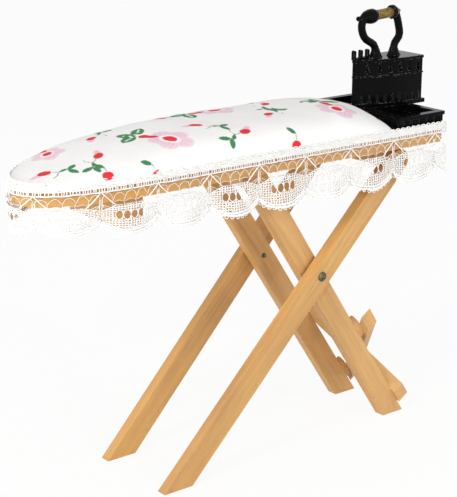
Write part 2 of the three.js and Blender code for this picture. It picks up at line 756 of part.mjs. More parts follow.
// A round-headed nail along Y, its head outside
function nail(side, x, z, headY, length) {
  const profile = [
    [0, 0],
    [NAIL_RADIUS, 0],
    [NAIL_RADIUS, length],
    [NAIL_HEAD_RADIUS, length],
    [NAIL_HEAD_RADIUS, length + NAIL_HEAD_EDGE],
    [(NAIL_HEAD_RADIUS + NAIL_RADIUS) / 2, length + (NAIL_HEAD_HEIGHT + NAIL_HEAD_EDGE) / 2],
    [0, length + NAIL_HEAD_HEIGHT],
  ];
  const points = profile.map(([r, h]) => new THREE.Vector2(r, h));
  const geometry = new THREE.LatheGeometry(points, NAIL_SIDES);
  geometry.translate(0, -length, 0);
  if (side < 0) {
    geometry.rotateX(Math.PI);
  }
  geometry.translate(x, headY, z);
  return geometry;
}

function pivotNail(side) {
  const length = FRAME_A_OUTER - (FRAME_B_OUTER - LEG_THICKNESS) + NAIL_TAIL;
  return surface(solid(lean(nail(side, 0, PIVOT_Z, side * FRAME_A_OUTER, length), side)));
}

function hingeNail(side) {
  const outer = FRAME_A_OUTER + FRAME_A_TAPER_SHARE * (HINGE_Z - PIVOT_Z);
  const length = LEG_THICKNESS + RAIL_END_GAP + RAIL_NAIL_DEPTH;
  const headY = side * (outer + 2 * NAIL_RUNNING_CLEARANCE);
  return surface(solid(nail(side, HINGE_X, HINGE_Z, headY, length)));
}

// Brace sticks lie in the plane of frame B: along the leg, across, and off its back
function backFrame() {
  const down = new THREE.Vector3(Math.cos(FRAME_B_ANGLE), 0, -Math.sin(FRAME_B_ANGLE));
  const across = new THREE.Vector3(0, 1, 0);
  const off = new THREE.Vector3(Math.sin(FRAME_B_ANGLE), 0, Math.cos(FRAME_B_ANGLE));
  const matrix = new THREE.Matrix4().makeBasis(down, across, off);
  matrix.setPosition(0, 0, PIVOT_Z);
  return matrix;
}

function stick(near, far, lift, size, depth) {
  const length = Math.hypot(far[0] - near[0], far[1] - near[1]);
  const geometry = new THREE.BoxGeometry(length, size, depth);
  geometry.rotateZ(Math.atan2(far[1] - near[1], far[0] - near[0]));
  geometry.translate((near[0] + far[0]) / 2, (near[1] + far[1]) / 2, lift + depth / 2);
  geometry.applyMatrix4(backFrame());
  return geometry;
}

// Each stick is cut level with the legs' sides, standing out past the near leg
function trimmed(body, near, far) {
  const reach = BRACE_LOWER;
  const nearCut = new THREE.BoxGeometry(2 * reach, reach, reach);
  nearCut.translate(reach, near[1] - reach / 2, 0);
  nearCut.applyMatrix4(backFrame());
  const farCut = new THREE.BoxGeometry(2 * reach, reach, reach);
  farCut.translate(reach, far[1] + reach / 2, 0);
  farCut.applyMatrix4(backFrame());
  return body.subtract(solid(nearCut)).subtract(solid(farCut));
}

// The lower corner of the inner stick is sawn off square to the leg
function cornerCut(body, near) {
  const reach = BRACE_UPPER;
  const cut = new THREE.BoxGeometry(reach, reach, reach);
  cut.translate(near[0] + STICK_ONE_CORNER_CUT + reach / 2, near[1], 0);
  cut.applyMatrix4(backFrame());
  return body.subtract(solid(cut));
}

// Both ends run on past the given points by one depth of the stick
function stretched(near, far) {
  const share = STICK_DEPTH / Math.hypot(far[0] - near[0], far[1] - near[1]);
  const [down, across] = [(far[0] - near[0]) * share, (far[1] - near[1]) * share];
  return [[near[0] - down, near[1] - across], [far[0] + down, far[1] + across]];
}

function braces() {
  const back = LEG_WIDTH / 2;
  const middle = back + (STICK_LIFT + STICK_DEPTH) / 2;
  const notch = STICK_WIDTH + 2 * LAP_CLEARANCE;
  const [nearOne, farOne] = stretched(STICK_ONE_NEAR, STICK_ONE_FAR);
  const [nearTwo, farTwo] = stretched(STICK_TWO_NEAR, STICK_TWO_FAR);
  const one = solid(stick(nearOne, farOne, back, STICK_WIDTH, STICK_DEPTH));
  const two = solid(stick(nearTwo, farTwo, back + STICK_LIFT, STICK_WIDTH, STICK_DEPTH));
  const cutOne = solid(stick(nearTwo, farTwo, middle, notch, STICK_DEPTH));
  const cutTwo = solid(stick(nearOne, farOne, middle - STICK_DEPTH, notch, STICK_DEPTH));
  const lappedOne = trimmed(one.subtract(cutOne), STICK_ONE_NEAR, STICK_ONE_FAR);
  const lappedTwo = trimmed(two.subtract(cutTwo), STICK_TWO_NEAR, STICK_TWO_FAR);
  return [surface(cornerCut(lappedOne, STICK_ONE_NEAR)), surface(lappedTwo)];
}

// Oval pad between a leg and the outer stick
function spacer(side) {
  const y = side * (FRAME_B_OUTER - LEG_THICKNESS / 2);
  const share = (y - STICK_TWO_NEAR[1]) / (STICK_TWO_FAR[1] - STICK_TWO_NEAR[1]);
  const down = STICK_TWO_NEAR[0] + (STICK_TWO_FAR[0] - STICK_TWO_NEAR[0]) * share;
  const radius = SPACER_HALF_WIDTH;
  const geometry = new THREE.CylinderGeometry(radius, radius, STICK_LIFT, SPACER_SIDES);
  geometry.rotateX(Math.PI / 2);
  geometry.scale(SPACER_HALF_LENGTH / radius, 1, 1);
  geometry.translate(down - SPACER_UP, y, LEG_WIDTH / 2 + STICK_LIFT / 2);
  geometry.applyMatrix4(backFrame());
  return geometry;
}

// Tray: plate with a drawn recess above a wall of upright lobes
function trayGeometry() {
  const x0 = TRAY_X0;
  const x1 = TRAY_X0 + TRAY_LENGTH;
  const half = TRAY_HALF_WIDTH;
  const plateZ = TRAY_TOP_Z - TRAY_RIM_PLATE;
  let body = solid(box(x0, x1, -half, half, plateZ, TRAY_TOP_Z));
  const pitchX = TRAY_LENGTH / TRAY_LOBES_SHORT;
  const pitchY = (2 * half) / TRAY_LOBES_LONG;
  const radiusX = pitchX / 2;
  const radiusY = pitchY / 2;
  const wallX = TRAY_FLARE + radiusY * TRAY_LOBE_DEPTH_SHARE;
  const wallY = TRAY_FLARE + radiusX * TRAY_LOBE_DEPTH_SHARE;
  const wallTopZ = plateZ + TRAY_FLARE;
  body = body.add(
    solid(box(x0 + wallX, x1 - wallX, -half + wallY, half - wallY, PLANK_TOP_Z, wallTopZ)),
  );
  const lobeZ = PLANK_TOP_Z + TRAY_LOBE_LIFT;
  function lobe(x, y, radius, depthX, depthY) {
    const points = [
      [0, lobeZ - TRAY_LOBE_LIFT / 2],
      [radius / 2, lobeZ - TRAY_LOBE_LIFT / 4],
      [radius, lobeZ + TRAY_LOBE_LIFT],
      [radius, wallTopZ],
      [0, wallTopZ],
    ];
    const profile = points.map(([r, h]) => new THREE.Vector2(r, h));
    const geometry = new THREE.LatheGeometry(profile, TRAY_LOBE_SIDES);
    geometry.rotateX(Math.PI / 2);
    geometry.scale(depthX, depthY, 1);
    geometry.translate(x, y, 0);
    return solid(geometry);
  }
  const depth = TRAY_LOBE_DEPTH_SHARE;
  for (const side of [-1, 1]) {
    for (let i = 0; i < TRAY_LOBES_SHORT; i += 1) {
      const x = x0 + pitchX * (i + 1 / 2);
      body = body.add(lobe(x, side * (half - wallY), radiusX, 1, depth));
    }
  }
  for (const [edge, side] of [[x0, 1], [x1, -1]]) {
    for (let i = 0; i < TRAY_LOBES_LONG; i += 1) {
      const y = -half + pitchY * (i + 1 / 2);
      body = body.add(lobe(edge + side * wallX, y, radiusY, depth, 1));
    }
  }
  const rx0 = x0 + TRAY_RIM_WIDE;
  const rx1 = x1 - TRAY_RIM_NARROW;
  const ry = half - TRAY_RIM_NARROW;
  const floorZ = TRAY_TOP_Z - TRAY_RECESS_DEPTH;
  const recess = box(rx0, rx1, -ry, ry, floorZ, TRAY_TOP_Z + TRAY_RIM_PLATE);
  body = body.subtract(solid(recess)).translate([0, -TRAY_SET_NEAR, 0]);
  return surface(body);
}

// Side of the iron in plan: pointed nose, flat heel
function ironSide(share, half) {
  const turn = (Math.min(1, share * IRON_CURVE_SHARE) * Math.PI) / 2;
  return half * Math.pow(Math.sin(turn), IRON_CURVE_POWER);
}

function ironOutline(half, noseInset, heelInset) {
  const x0 = IRON_NOSE_X + noseInset;
  const length = IRON_LENGTH - noseInset - heelInset;
  const near = [];
  for (let i = 0; i <= IRON_CURVE_STEPS; i += 1) {
    const share = (i / IRON_CURVE_STEPS) * (i / IRON_CURVE_STEPS);
    near.push([x0 + length * share, -ironSide(share, half)]);
  }
  const far = near.slice(1).reverse().map(([x, y]) => [x, -y]);
  return near.concat(far);
}

// Place and outward direction on the side of the iron's body
function onSide(share, half, side) {
  const step = SLOPE_STEP_SHARE;
  const length = IRON_LENGTH - 2 * SOLE_BODY_INSET;
  const x = IRON_NOSE_X + SOLE_BODY_INSET + length * share;
  const y = ironSide(share, half);
  const rise = (ironSide(share + step, half) - ironSide(share - step, half)) / (2 * step * length);
  return { x, y: side * y, angle: Math.atan(rise) * side };
}

function ironBody() {
  const inset = SOLE_BODY_INSET;
  const soleTop = SOLE_TOP_Z;
  let body = solid(plate(ironOutline(BODY_HALF_WIDTH, inset, inset), soleTop, BODY_TOP_Z));
  const ledge = plate(
    ironOutline(BODY_HALF_WIDTH + LEDGE_PROUD, inset - LEDGE_PROUD, inset - LEDGE_PROUD),
    LEDGE_Z - LEDGE_HEIGHT,
    LEDGE_Z,
  );
  body = body.add(solid(ledge));
  for (const side of [-1, 1]) {
    for (let i = 0; i < FOOT_LOBES; i += 1) {
      const span = FOOT_LOBE_END_SHARE - FOOT_LOBE_START_SHARE;
      const share = FOOT_LOBE_START_SHARE + (span * i) / (FOOT_LOBES - 1);
      const spot = onSide(share, BODY_HALF_WIDTH, side);
      const inward = FOOT_LOBE_RADIUS - FOOT_LOBE_PROUD;
      const geometry = new THREE.CylinderGeometry(
        FOOT_LOBE_RADIUS * FOOT_FLAT_SHARE,
        FOOT_LOBE_RADIUS,
        FOOT_LOBE_HEIGHT,
        TRAY_LOBE_SIDES,
      );
      geometry.rotateX(Math.PI / 2);
      geometry.translate(
        spot.x + Math.sin(spot.angle) * inward * side,
        spot.y - side * Math.cos(spot.angle) * inward,
        soleTop + FOOT_LOBE_HEIGHT / 2,
      );
      body = body.add(solid(geometry));
    }
    for (let i = 0; i < VENTS; i += 1) {
      const share = VENT_START_SHARE + ((VENT_END_SHARE - VENT_START_SHARE) * i) / (VENTS - 1);
      const spot = onSide(share, BODY_HALF_WIDTH, side);
      const flame = [
        [-VENT_WIDTH / 2, VENT_BASE_Z],
        [VENT_WIDTH / 2, VENT_BASE_Z],
        [VENT_WIDTH / 4, VENT_BASE_Z + VENT_HEIGHT / 2],
        [0, VENT_BASE_Z + VENT_HEIGHT],
        [-VENT_WIDTH / 4, VENT_BASE_Z + VENT_HEIGHT / 2],
      ];
      const geometry = slab(flame, -VENT_DEPTH, VENT_DEPTH);
      geometry.rotateZ(spot.angle);
      geometry.translate(spot.x, spot.y, 0);
      body = body.subtract(solid(geometry));
    }
  }
  return surface(body);
}

function ironComb() {
  const z0 = LID_TOP_Z;
  const half = COMB_DEPTH / 2;
  const endX = handlePlace(POST_FRONT_SHARES[0]).x - FOOT_FLARE_RADIUS - COMB_FOOT_GAP;
  const pitch = (endX - COMB_WIDTH - COMB_START_X) / (COMB_TEETH - 1);
  let body = solid(box(COMB_START_X, endX, -half, half, z0, z0 + COMB_BASE_HEIGHT));
  for (let i = 0; i < COMB_TEETH; i += 1) {
    const x = COMB_START_X + pitch * i;
    const tip = [
      [x, z0],
      [x + COMB_WIDTH, z0],
      [x + COMB_WIDTH, z0 + COMB_HEIGHT - COMB_WIDTH / 3],
      [x + (2 * COMB_WIDTH) / 3, z0 + COMB_HEIGHT],
      [x + COMB_WIDTH / 3, z0 + COMB_HEIGHT],
      [x, z0 + COMB_HEIGHT - COMB_WIDTH / 3],
    ];
    body = body.add(solid(slab(tip, -half, half)));
  }
  return surface(body);
}

// A turned piece on the handle's axis, from a list of distance along it and radius
function handleTurn(profile) {
  const points = profile.map(([along, radius]) => new THREE.Vector2(radius, along));
  const geometry = new THREE.LatheGeometry(points, TURN_SIDES);
  geometry.rotateX(Math.PI / 2);
  geometry.rotateY(Math.PI / 2 - HANDLE_TILT);
  geometry.translate(HANDLE_FRONT_X, 0, HANDLE_FRONT_Z);
  return solid(geometry);
}

// Place on the handle from a share of its length and a share of its height over the lid
function handlePlace([alongShare, upShare]) {
  const x = HANDLE_FRONT_X + HANDLE_LENGTH * alongShare;
  const axisZ = HANDLE_FRONT_Z + (x - HANDLE_FRONT_X) * Math.tan(HANDLE_TILT);
  return new THREE.Vector3(x, 0, LID_TOP_Z + (axisZ - LID_TOP_Z) * upShare);
}

function post(shares) {
  const curve = new THREE.CatmullRomCurve3(shares.map(handlePlace));
  const ring = new THREE.Shape();
  ring.absellipse(0, 0, POST_RADIUS, POST_RADIUS, 0, 2 * Math.PI);
  const geometry = new THREE.ExtrudeGeometry(ring, {
    extrudePath: curve,
    steps: POST_STEPS,
    bevelEnabled: false,
    curveSegments: POST_SIDES,
  });
  return solid(geometry);
}

function postFoot(x) {
  const points = [
    [0, 0],
    [FOOT_FLARE_RADIUS, 0],
    [(FOOT_FLARE_RADIUS + FOOT_NECK_RADIUS) / 2, FOOT_FLARE_HEIGHT / 3],
    [FOOT_NECK_RADIUS, FOOT_FLARE_HEIGHT],
    [0, FOOT_FLARE_HEIGHT],
  ];
  const geometry = new THREE.LatheGeometry(points.map(([r, h]) => new THREE.Vector2(r, h)), TURN_SIDES);
  geometry.rotateX(Math.PI / 2);
  geometry.scale(1, FOOT_FLAT_SHARE, 1);
  geometry.translate(x, 0, LID_TOP_Z);
  return solid(geometry);
}

function handlePieces() {
  const ferruleEnd = KNOB_LENGTH + FERRULE_LENGTH;
  const sleeveEnd = ferruleEnd + SLEEVE_LENGTH;
  const capStart = sleeveEnd;
  const capEnd = capStart + CAP_LENGTH;
  const ferrule = handleTurn([
    [0, 0],
    [0, KNOB_RADIUS / 2],
    [KNOB_LENGTH / 3, KNOB_RADIUS],
    [(2 * KNOB_LENGTH) / 3, KNOB_RADIUS],
    [KNOB_LENGTH, KNOB_NECK_RADIUS],
    [KNOB_LENGTH + FERRULE_LENGTH / 3, FERRULE_MID_RADIUS],
    [KNOB_LENGTH + FERRULE_LENGTH * FERRULE_WIDEST_SHARE, FERRULE_RADIUS],
    [(KNOB_LENGTH + FERRULE_LENGTH * FERRULE_WIDEST_SHARE + ferruleEnd) / 2, FERRULE_RADIUS],
    [ferruleEnd, FERRULE_END_RADIUS],
    [ferruleEnd, 0],
  ]);
  const cap = handleTurn([
    [capStart, 0],
    [capStart, CAP_RADIUS],
    [capStart + CAP_RIM, CAP_RADIUS],
    [capEnd, CAP_TIP_RADIUS],
    [capEnd, 0],
  ]);
  const seat = ROD_SEAT + ROD_END_GAP;
  const hollow = handleTurn([
    [ferruleEnd - seat, 0],
    [ferruleEnd - seat, ROD_RADIUS],
    [capStart + seat, ROD_RADIUS],
    [capStart + seat, 0],
  ]);
  const reach = 2 * FOOT_FLARE_RADIUS;
  const x1 = HANDLE_FRONT_X + HANDLE_LENGTH + reach;
  const below = solid(box(HANDLE_FRONT_X - reach, x1, -reach, reach, LID_TOP_Z - reach, LID_TOP_Z));
  const frontPost = post(POST_FRONT_SHARES).add(postFoot(handlePlace(POST_FRONT_SHARES[0]).x));
  const rearPost = post(POST_REAR_SHARES).add(postFoot(handlePlace(POST_REAR_SHARES[0]).x));
  const front = ferrule.add(frontPost).subtract(hollow).subtract(below);
  const rear = cap.add(rearPost).subtract(hollow).subtract(below);
  const rod = handleTurn([
    [ferruleEnd - ROD_SEAT, 0],
    [ferruleEnd - ROD_SEAT, ROD_RADIUS],
    [capStart + ROD_SEAT, ROD_RADIUS],
    [capStart + ROD_SEAT, 0],
  ]);
  const sleeve = handleTurn([
    [ferruleEnd, ROD_RADIUS],
    [ferruleEnd, SLEEVE_RADIUS],
    [sleeveEnd, SLEEVE_RADIUS],
    [sleeveEnd, ROD_RADIUS],
    [ferruleEnd, ROD_RADIUS],
  ]);
  return { front, rear, rod, sleeve };
}

add("board_plank", skewed(plankGeometry()), WOOD);
add("pad_wadding", surface(solid(skewed(waddingGeometry()))), FELT);
add("pad_cover", surface(solid(skewed(coverGeometry()))), COTTON);
add("lace_trim", surface(solid(skewed(laceGeometry()))), LACE);
const blockHalf = NOSE_BLOCK_LENGTH / 2;
add(
  "nose_cross_block",
  chamfered(
    NOSE_BLOCK_X - blockHalf,
    NOSE_BLOCK_X + blockHalf,
    -NOSE_BLOCK_HALF_WIDTH,
    NOSE_BLOCK_HALF_WIDTH,
    PLANK_UNDERSIDE_Z - NOSE_BLOCK_DROP,
    PLANK_UNDERSIDE_Z,
  ),
  WOOD,
);
add("hinge_rail", hingeRail(), WOOD);
add("hinge_nail_near", hingeNail(-1), NAIL_METAL);
add("hinge_nail_far", hingeNail(1), NAIL_METAL);
add("frame_a_leg_near", legA(-1), WOOD);
add("frame_a_leg_far", legA(1), WOOD);
add("pivot_nail_near", pivotNail(-1), NAIL_METAL);
add("pivot_nail_far", pivotNail(1), NAIL_METAL);
add("frame_b_leg_near", legB(-1), WOOD);
add("frame_b_leg_far", legB(1), WOOD);
add("frame_b_top_bar", topBarB(), WOOD);
const [braceOne, braceTwo] = braces();
add("brace_stick_inner", braceOne, WOOD);
add("brace_stick_outer", braceTwo, WOOD);
add("brace_spacer_near", spacer(-1), WOOD);
add("brace_spacer_far", spacer(1), WOOD);
add("iron_tray", trayGeometry(), IRON_BLACK);
add(
  "iron_sole",
  plate(ironOutline(SOLE_HALF_WIDTH, 0, 0), TRAY_TOP_Z, SOLE_TOP_Z),
  IRON_BLACK,
);
add("iron_body", ironBody(), IRON_BLACK);
const lidInset = SOLE_BODY_INSET - LID_OVERHANG;
add(
  "iron_lid",
  plate(ironOutline(BODY_HALF_WIDTH + LID_OVERHANG, lidInset, lidInset), BODY_TOP_Z, LID_TOP_Z),
  IRON_BLACK,
);
add("iron_nose_comb", ironComb(), IRON_BLACK);
const handle = handlePieces();
add("iron_handle_front", surface(handle.front), IRON_BLACK);
add("iron_handle_rear", surface(handle.rear), IRON_BLACK);
add("iron_handle_rod", surface(handle.rod), IRON_BLACK);
add("iron_handle_sleeve", surface(handle.sleeve), BRASS);

// The origin sits at the middle of the floor below the whole object
const bounds = new THREE.Box3().setFromObject(root);
const middleX = (bounds.min.x + bounds.max.x) / 2;
const middleY = (bounds.min.y + bounds.max.y) / 2;
for (const mesh of root.children) {
  mesh.geometry.translate(-middleX, -middleY, 0);
}

export default root;
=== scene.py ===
"""Dollhouse ironing board: cloth, lace, materials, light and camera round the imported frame."""

import json
import math
import random

import bpy
import numpy as np
from mathutils import Matrix, Vector


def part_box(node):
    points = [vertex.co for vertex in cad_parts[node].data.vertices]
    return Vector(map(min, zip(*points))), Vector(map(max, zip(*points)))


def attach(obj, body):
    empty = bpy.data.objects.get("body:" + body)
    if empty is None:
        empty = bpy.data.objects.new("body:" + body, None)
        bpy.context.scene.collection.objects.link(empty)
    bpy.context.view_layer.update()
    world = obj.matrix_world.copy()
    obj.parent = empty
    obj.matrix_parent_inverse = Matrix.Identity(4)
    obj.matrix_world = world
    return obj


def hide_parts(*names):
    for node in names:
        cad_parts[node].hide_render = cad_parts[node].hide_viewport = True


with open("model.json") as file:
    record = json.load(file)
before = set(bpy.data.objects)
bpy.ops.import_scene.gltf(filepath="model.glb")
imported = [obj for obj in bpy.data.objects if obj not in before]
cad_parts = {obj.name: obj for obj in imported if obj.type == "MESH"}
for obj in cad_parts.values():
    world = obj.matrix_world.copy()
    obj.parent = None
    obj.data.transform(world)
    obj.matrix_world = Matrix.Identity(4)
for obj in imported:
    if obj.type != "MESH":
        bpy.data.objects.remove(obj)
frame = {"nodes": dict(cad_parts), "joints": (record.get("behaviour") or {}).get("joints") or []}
SCENE = bpy.context.scene
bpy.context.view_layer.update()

MM = 0.001
WHITE = (1.0, 1.0, 1.0)
JOINTS = {joint["name"]: joint for joint in frame["joints"]}
PIVOT = Vector(JOINTS["frame_b_pivot"]["pos_m"])
PLANK_LOW, PLANK_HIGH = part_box("board_plank")
COVER_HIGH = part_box("pad_cover")[1]
random.seed(12)


# Camera at the photograph's viewing angle, placed from the pivot of the legs

PHOTO_HEIGHT = 497
SENSOR_MM = 36.0
FOCAL_PX = 1488.96
CAMERA_FROM_PIVOT = Vector((-229.79, -265.57, 109.88)) * MM
CAMERA_YAW = math.radians(38.644)
CAMERA_PITCH = math.radians(16.850)
CAMERA_ROLL = math.radians(0.271)
CLIP_START = 10.0 * MM


def make_camera():
    data = bpy.data.cameras.new("camera")
    data.sensor_width = SENSOR_MM
    data.lens = FOCAL_PX / PHOTO_HEIGHT * SENSOR_MM
    data.clip_start = CLIP_START
    camera = bpy.data.objects.new("camera", data)
    SCENE.collection.objects.link(camera)
    cos_yaw, sin_yaw = math.cos(CAMERA_YAW), math.sin(CAMERA_YAW)
    cos_pitch, sin_pitch = math.cos(CAMERA_PITCH), math.sin(CAMERA_PITCH)
    look = Vector((sin_yaw * cos_pitch, cos_yaw * cos_pitch, -sin_pitch))
    level = Vector((cos_yaw, -sin_yaw, 0))
    up = level.cross(look)
    right = math.cos(CAMERA_ROLL) * level + math.sin(CAMERA_ROLL) * up
    top = -math.sin(CAMERA_ROLL) * level + math.cos(CAMERA_ROLL) * up
    axes = Matrix((right, top, -look)).transposed().to_4x4()
    camera.matrix_world = Matrix.Translation(PIVOT + CAMERA_FROM_PIVOT) @ axes
    SCENE.camera = camera


make_camera()


# Node helpers


def new_material(name):
    material = bpy.data.materials.new(name)
    material.use_nodes = True
    return material, material.node_tree


def put(tree, made, values):
    """Gives named or numbered inputs of a node a link or a plain value."""
    for key, value in values.items():
        target = made.inputs[key]
        if isinstance(value, bpy.types.NodeSocket):
            tree.links.new(value, target)
        else:
            target.default_value = (*value, 1.0) if target.type == "RGBA" else value


def finished(material, values):
    tree = material.node_tree
    put(tree, tree.nodes["Principled BSDF"], values)
    return material


def node(tree, kind, inputs=None, **settings):
    made = tree.nodes.new(kind)
    for key, value in settings.items():
        setattr(made, key, value)
    put(tree, made, inputs or {})
    return made


def ramp(tree, source, stops):
    made = node(tree, "ShaderNodeValToRGB", {"Fac": source})
    elements = made.color_ramp.elements
    while len(elements) < len(stops):
        elements.new(0.5)
    for element, (place, colour) in zip(elements, stops):
        element.position = place
        element.color = (*colour, 1.0)
    return made.outputs["Color"]


def slope(tree, source, low, high, first, last):
    """A grey that goes from first at low to last at high."""
    return ramp(tree, source, [(low, (first,) * 3), (high, (last,) * 3)])


def mix(tree, factor, first, second, blend="MIX"):
    values = {0: factor, 6: first, 7: second}
    return node(tree, "ShaderNodeMix", values, data_type="RGBA", blend_type=blend).outputs[2]


def maths(tree, operation, first, second=0.0, clamp=False):
    values = {0: first, 1: second}
    return node(tree, "ShaderNodeMath", values, operation=operation, use_clamp=clamp).outputs[0]


def bump(tree, height, strength, distance, normal=None):
    values = {"Strength": strength, "Distance": distance, "Height": height}
    if normal is not None:
        values["Normal"] = normal
    return node(tree, "ShaderNodeBump", values).outputs["Normal"]


def noise(tree, vector, scale, detail, roughness=0.5):
    values = {"Vector": vector, "Scale": scale, "Detail": detail, "Roughness": roughness}
    return node(tree, "ShaderNodeTexNoise", values).outputs["Fac"]


def object_place(tree):
    return node(tree, "ShaderNodeTexCoord").outputs["Object"]


# Wood: fine straight grain along the piece, with pores, slow colour drift and pale worn edges

WOOD_PALE = (0.56, 0.278, 0.046)
WOOD_MID = (0.475, 0.215, 0.023)
WOOD_DARK = (0.35, 0.137, 0.012)
WORN_WOOD = (0.86, 0.62, 0.36)
WORN_WOOD_STRENGTH = 0.35
WOOD_BANDS = [(0.30, WOOD_DARK), (0.46, WOOD_MID), (0.62, WOOD_PALE), (0.80, WOOD_MID)]
STREAK_TINTS = [(0.30, (0.76, 0.70, 0.60)), (0.50, WHITE), (0.75, (1.06, 1.03, 0.98))]
STREAK_STRENGTH = 0.8
PORE_TINTS = [(0.27, (0.55, 0.42, 0.30)), (0.36, WHITE)]
PORE_STRENGTH = 0.7
DRIFT_TINTS = [(0.35, (0.93, 0.90, 0.86)), (0.65, (1.05, 1.04, 1.02))]
GRAIN_LENGTH_SCALE = 22.0
GRAIN_WIDTH_SCALE = 900.0
PORE_WIDTH_SCALE = 3200.0
DRIFT_SCALE = 45.0
STREAK_RELIEF = 0.05 * MM
PORE_RELIEF = 0.04 * MM


def wood_material(name, turn, shift):
    """Grain runs along X after the turn."""
    material, tree = new_material(name)
    place = object_place(tree)
    turned = node(tree, "ShaderNodeMapping", {"Vector": place, "Rotation": turn}).outputs["Vector"]
    shifts = (shift, shift * 2, shift * 3)

    def stretched(along, across):
        values = {"Vector": turned, "Scale": (along, across, across), "Location": shifts}
        return node(tree, "ShaderNodeMapping", values).outputs["Vector"]

    broad = noise(tree, stretched(GRAIN_LENGTH_SCALE, GRAIN_WIDTH_SCALE / 4), 1.0, 4.0, 0.6)
    fine = noise(tree, stretched(GRAIN_LENGTH_SCALE * 2, GRAIN_WIDTH_SCALE), 1.0, 5.0, 0.65)
    pores = noise(tree, stretched(GRAIN_LENGTH_SCALE * 6, PORE_WIDTH_SCALE), 1.0, 2.0)
    drift = noise(tree, place, DRIFT_SCALE, 2.0)
    base = ramp(tree, broad, WOOD_BANDS)
    base = mix(tree, STREAK_STRENGTH, base, ramp(tree, fine, STREAK_TINTS), "MULTIPLY")
    base = mix(tree, PORE_STRENGTH, base, ramp(tree, pores, PORE_TINTS), "MULTIPLY")
    base = mix(tree, 1.0, base, ramp(tree, drift, DRIFT_TINTS), "MULTIPLY")
    edge = node(tree, "ShaderNodeNewGeometry").outputs["Pointiness"]
    base = mix(tree, slope(tree, edge, 0.52, 0.60, 0.0, WORN_WOOD_STRENGTH), base, WORN_WOOD)
    values = {
        "Base Color": base,
        "Roughness": slope(tree, fine, 0.3, 0.7, 0.62, 0.44),
        "Specular IOR Level": 0.25,
        "Coat Weight": 0.05,
        "Coat Roughness": 0.25,
        "Normal": bump(tree, pores, 0.25, PORE_RELIEF, bump(tree, fine, 0.35, STREAK_RELIEF)),
    }
    return finished(material, values)


BEVEL_ANGLE = math.radians(40)


def dress(name, material, bevel, segments=2):
    """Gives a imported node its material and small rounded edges."""
    piece = frame["nodes"][name]
    if not piece.data.materials:
        piece.data.materials.append(None)
    for slot in piece.material_slots:
        slot.link = "OBJECT"
        slot.material = material
    rounded = piece.modifiers.new("rounded_edges", "BEVEL")
    rounded.width = bevel
    rounded.segments = segments
    rounded.limit_method = "ANGLE"
    rounded.angle_limit = BEVEL_ANGLE
    rounded.harden_normals = True


WOOD_EDGE = 0.18 * MM
GRAIN_SHIFT = 0.37
LENGTHWISE = (0.0, 0.0, 0.0)
CROSSWISE = (0.0, 0.0, math.pi / 2)
ALONG_LEG_A = (0.0, math.radians(46.2), 0.0)
ALONG_LEG_B = (0.0, -math.radians(56.3), 0.0)

WOOD_PIECES = {
    "board_plank": LENGTHWISE,
    "nose_cross_block": CROSSWISE,
    "hinge_rail": CROSSWISE,
    "frame_a_leg_near": ALONG_LEG_A,
    "frame_a_leg_far": ALONG_LEG_A,
    "frame_b_leg_near": ALONG_LEG_B,
    "frame_b_leg_far": ALONG_LEG_B,
    "frame_b_top_bar": CROSSWISE,
    "brace_stick_inner": ALONG_LEG_B,
    "brace_stick_outer": ALONG_LEG_B,
    "brace_spacer_near": CROSSWISE,
    "brace_spacer_far": CROSSWISE,
}
for count, (piece_name, turn) in enumerate(WOOD_PIECES.items(), 1):
    dress(piece_name, wood_material("wood_" + piece_name, turn, GRAIN_SHIFT * count), WOOD_EDGE)


# Gloss black casting, grey in patches along its edges: mostly painted glints standing in for edge
# highlights, partly real wear

GLINT_AND_WEAR_WIDTH = 0.22 * MM
GLINT_AND_WEAR_PATCH_SCALE = 1500.0
# Grey for the edges: mostly a painted highlight (glints), partly real wear
GLINT_AND_WEAR_GREY = (0.30, 0.29, 0.27)
CASTING_GLINT_AND_WEAR = 0.8
TRAY_GLINT_AND_WEAR = 0.35
CASTING_TINTS = [(0.3, (0.0015, 0.0015, 0.0018)), (0.75, (0.004, 0.004, 0.0044))]
CASTING_GRAIN_SCALE = 2600.0
CASTING_GRAIN_RELIEF = 0.03 * MM
ORANGE_PEEL_SCALE = 700.0
ORANGE_PEEL_RELIEF = 0.1 * MM


def black_material(name, glint_and_wear):
    material, tree = new_material(name)
    place = object_place(tree)
    grain = noise(tree, place, CASTING_GRAIN_SCALE, 3.0, 0.6)
    orange_peel = noise(tree, place, ORANGE_PEEL_SCALE, 2.0)
    softened = node(tree, "ShaderNodeBevel", {"Radius": GLINT_AND_WEAR_WIDTH}, samples=6).outputs["Normal"]
    normal = node(tree, "ShaderNodeNewGeometry").outputs["Normal"]
    facing = node(tree, "ShaderNodeVectorMath", {0: softened, 1: normal}, operation="DOT_PRODUCT")
    # Painted glints: edges found by the bevel node are painted grey in patches, standing in for highlights,
    # with a little real wear
    painted_glint_and_wear = slope(tree, maths(tree, "SUBTRACT", 1.0, facing.outputs["Value"]), 0.04, 0.16, 0.0, glint_and_wear)
    patches = slope(tree, noise(tree, place, GLINT_AND_WEAR_PATCH_SCALE, 4.0, 0.7), 0.52, 0.60, 0.0, 1.0)
    painted_glint_and_wear = maths(tree, "MULTIPLY", painted_glint_and_wear, patches, clamp=True)
    peel_normal = bump(tree, orange_peel, 0.2, ORANGE_PEEL_RELIEF)
    values = {
        "Base Color": mix(tree, painted_glint_and_wear, ramp(tree, grain, CASTING_TINTS), GLINT_AND_WEAR_GREY),
        "Roughness": slope(tree, orange_peel, 0.3, 0.75, 0.08, 0.17),
        "IOR": 1.14,
        "Normal": bump(tree, grain, 0.1, CASTING_GRAIN_RELIEF, peel_normal),
    }
    return finished(material, values)


# Cloudy brass with pale rims, and dull dark nail metal

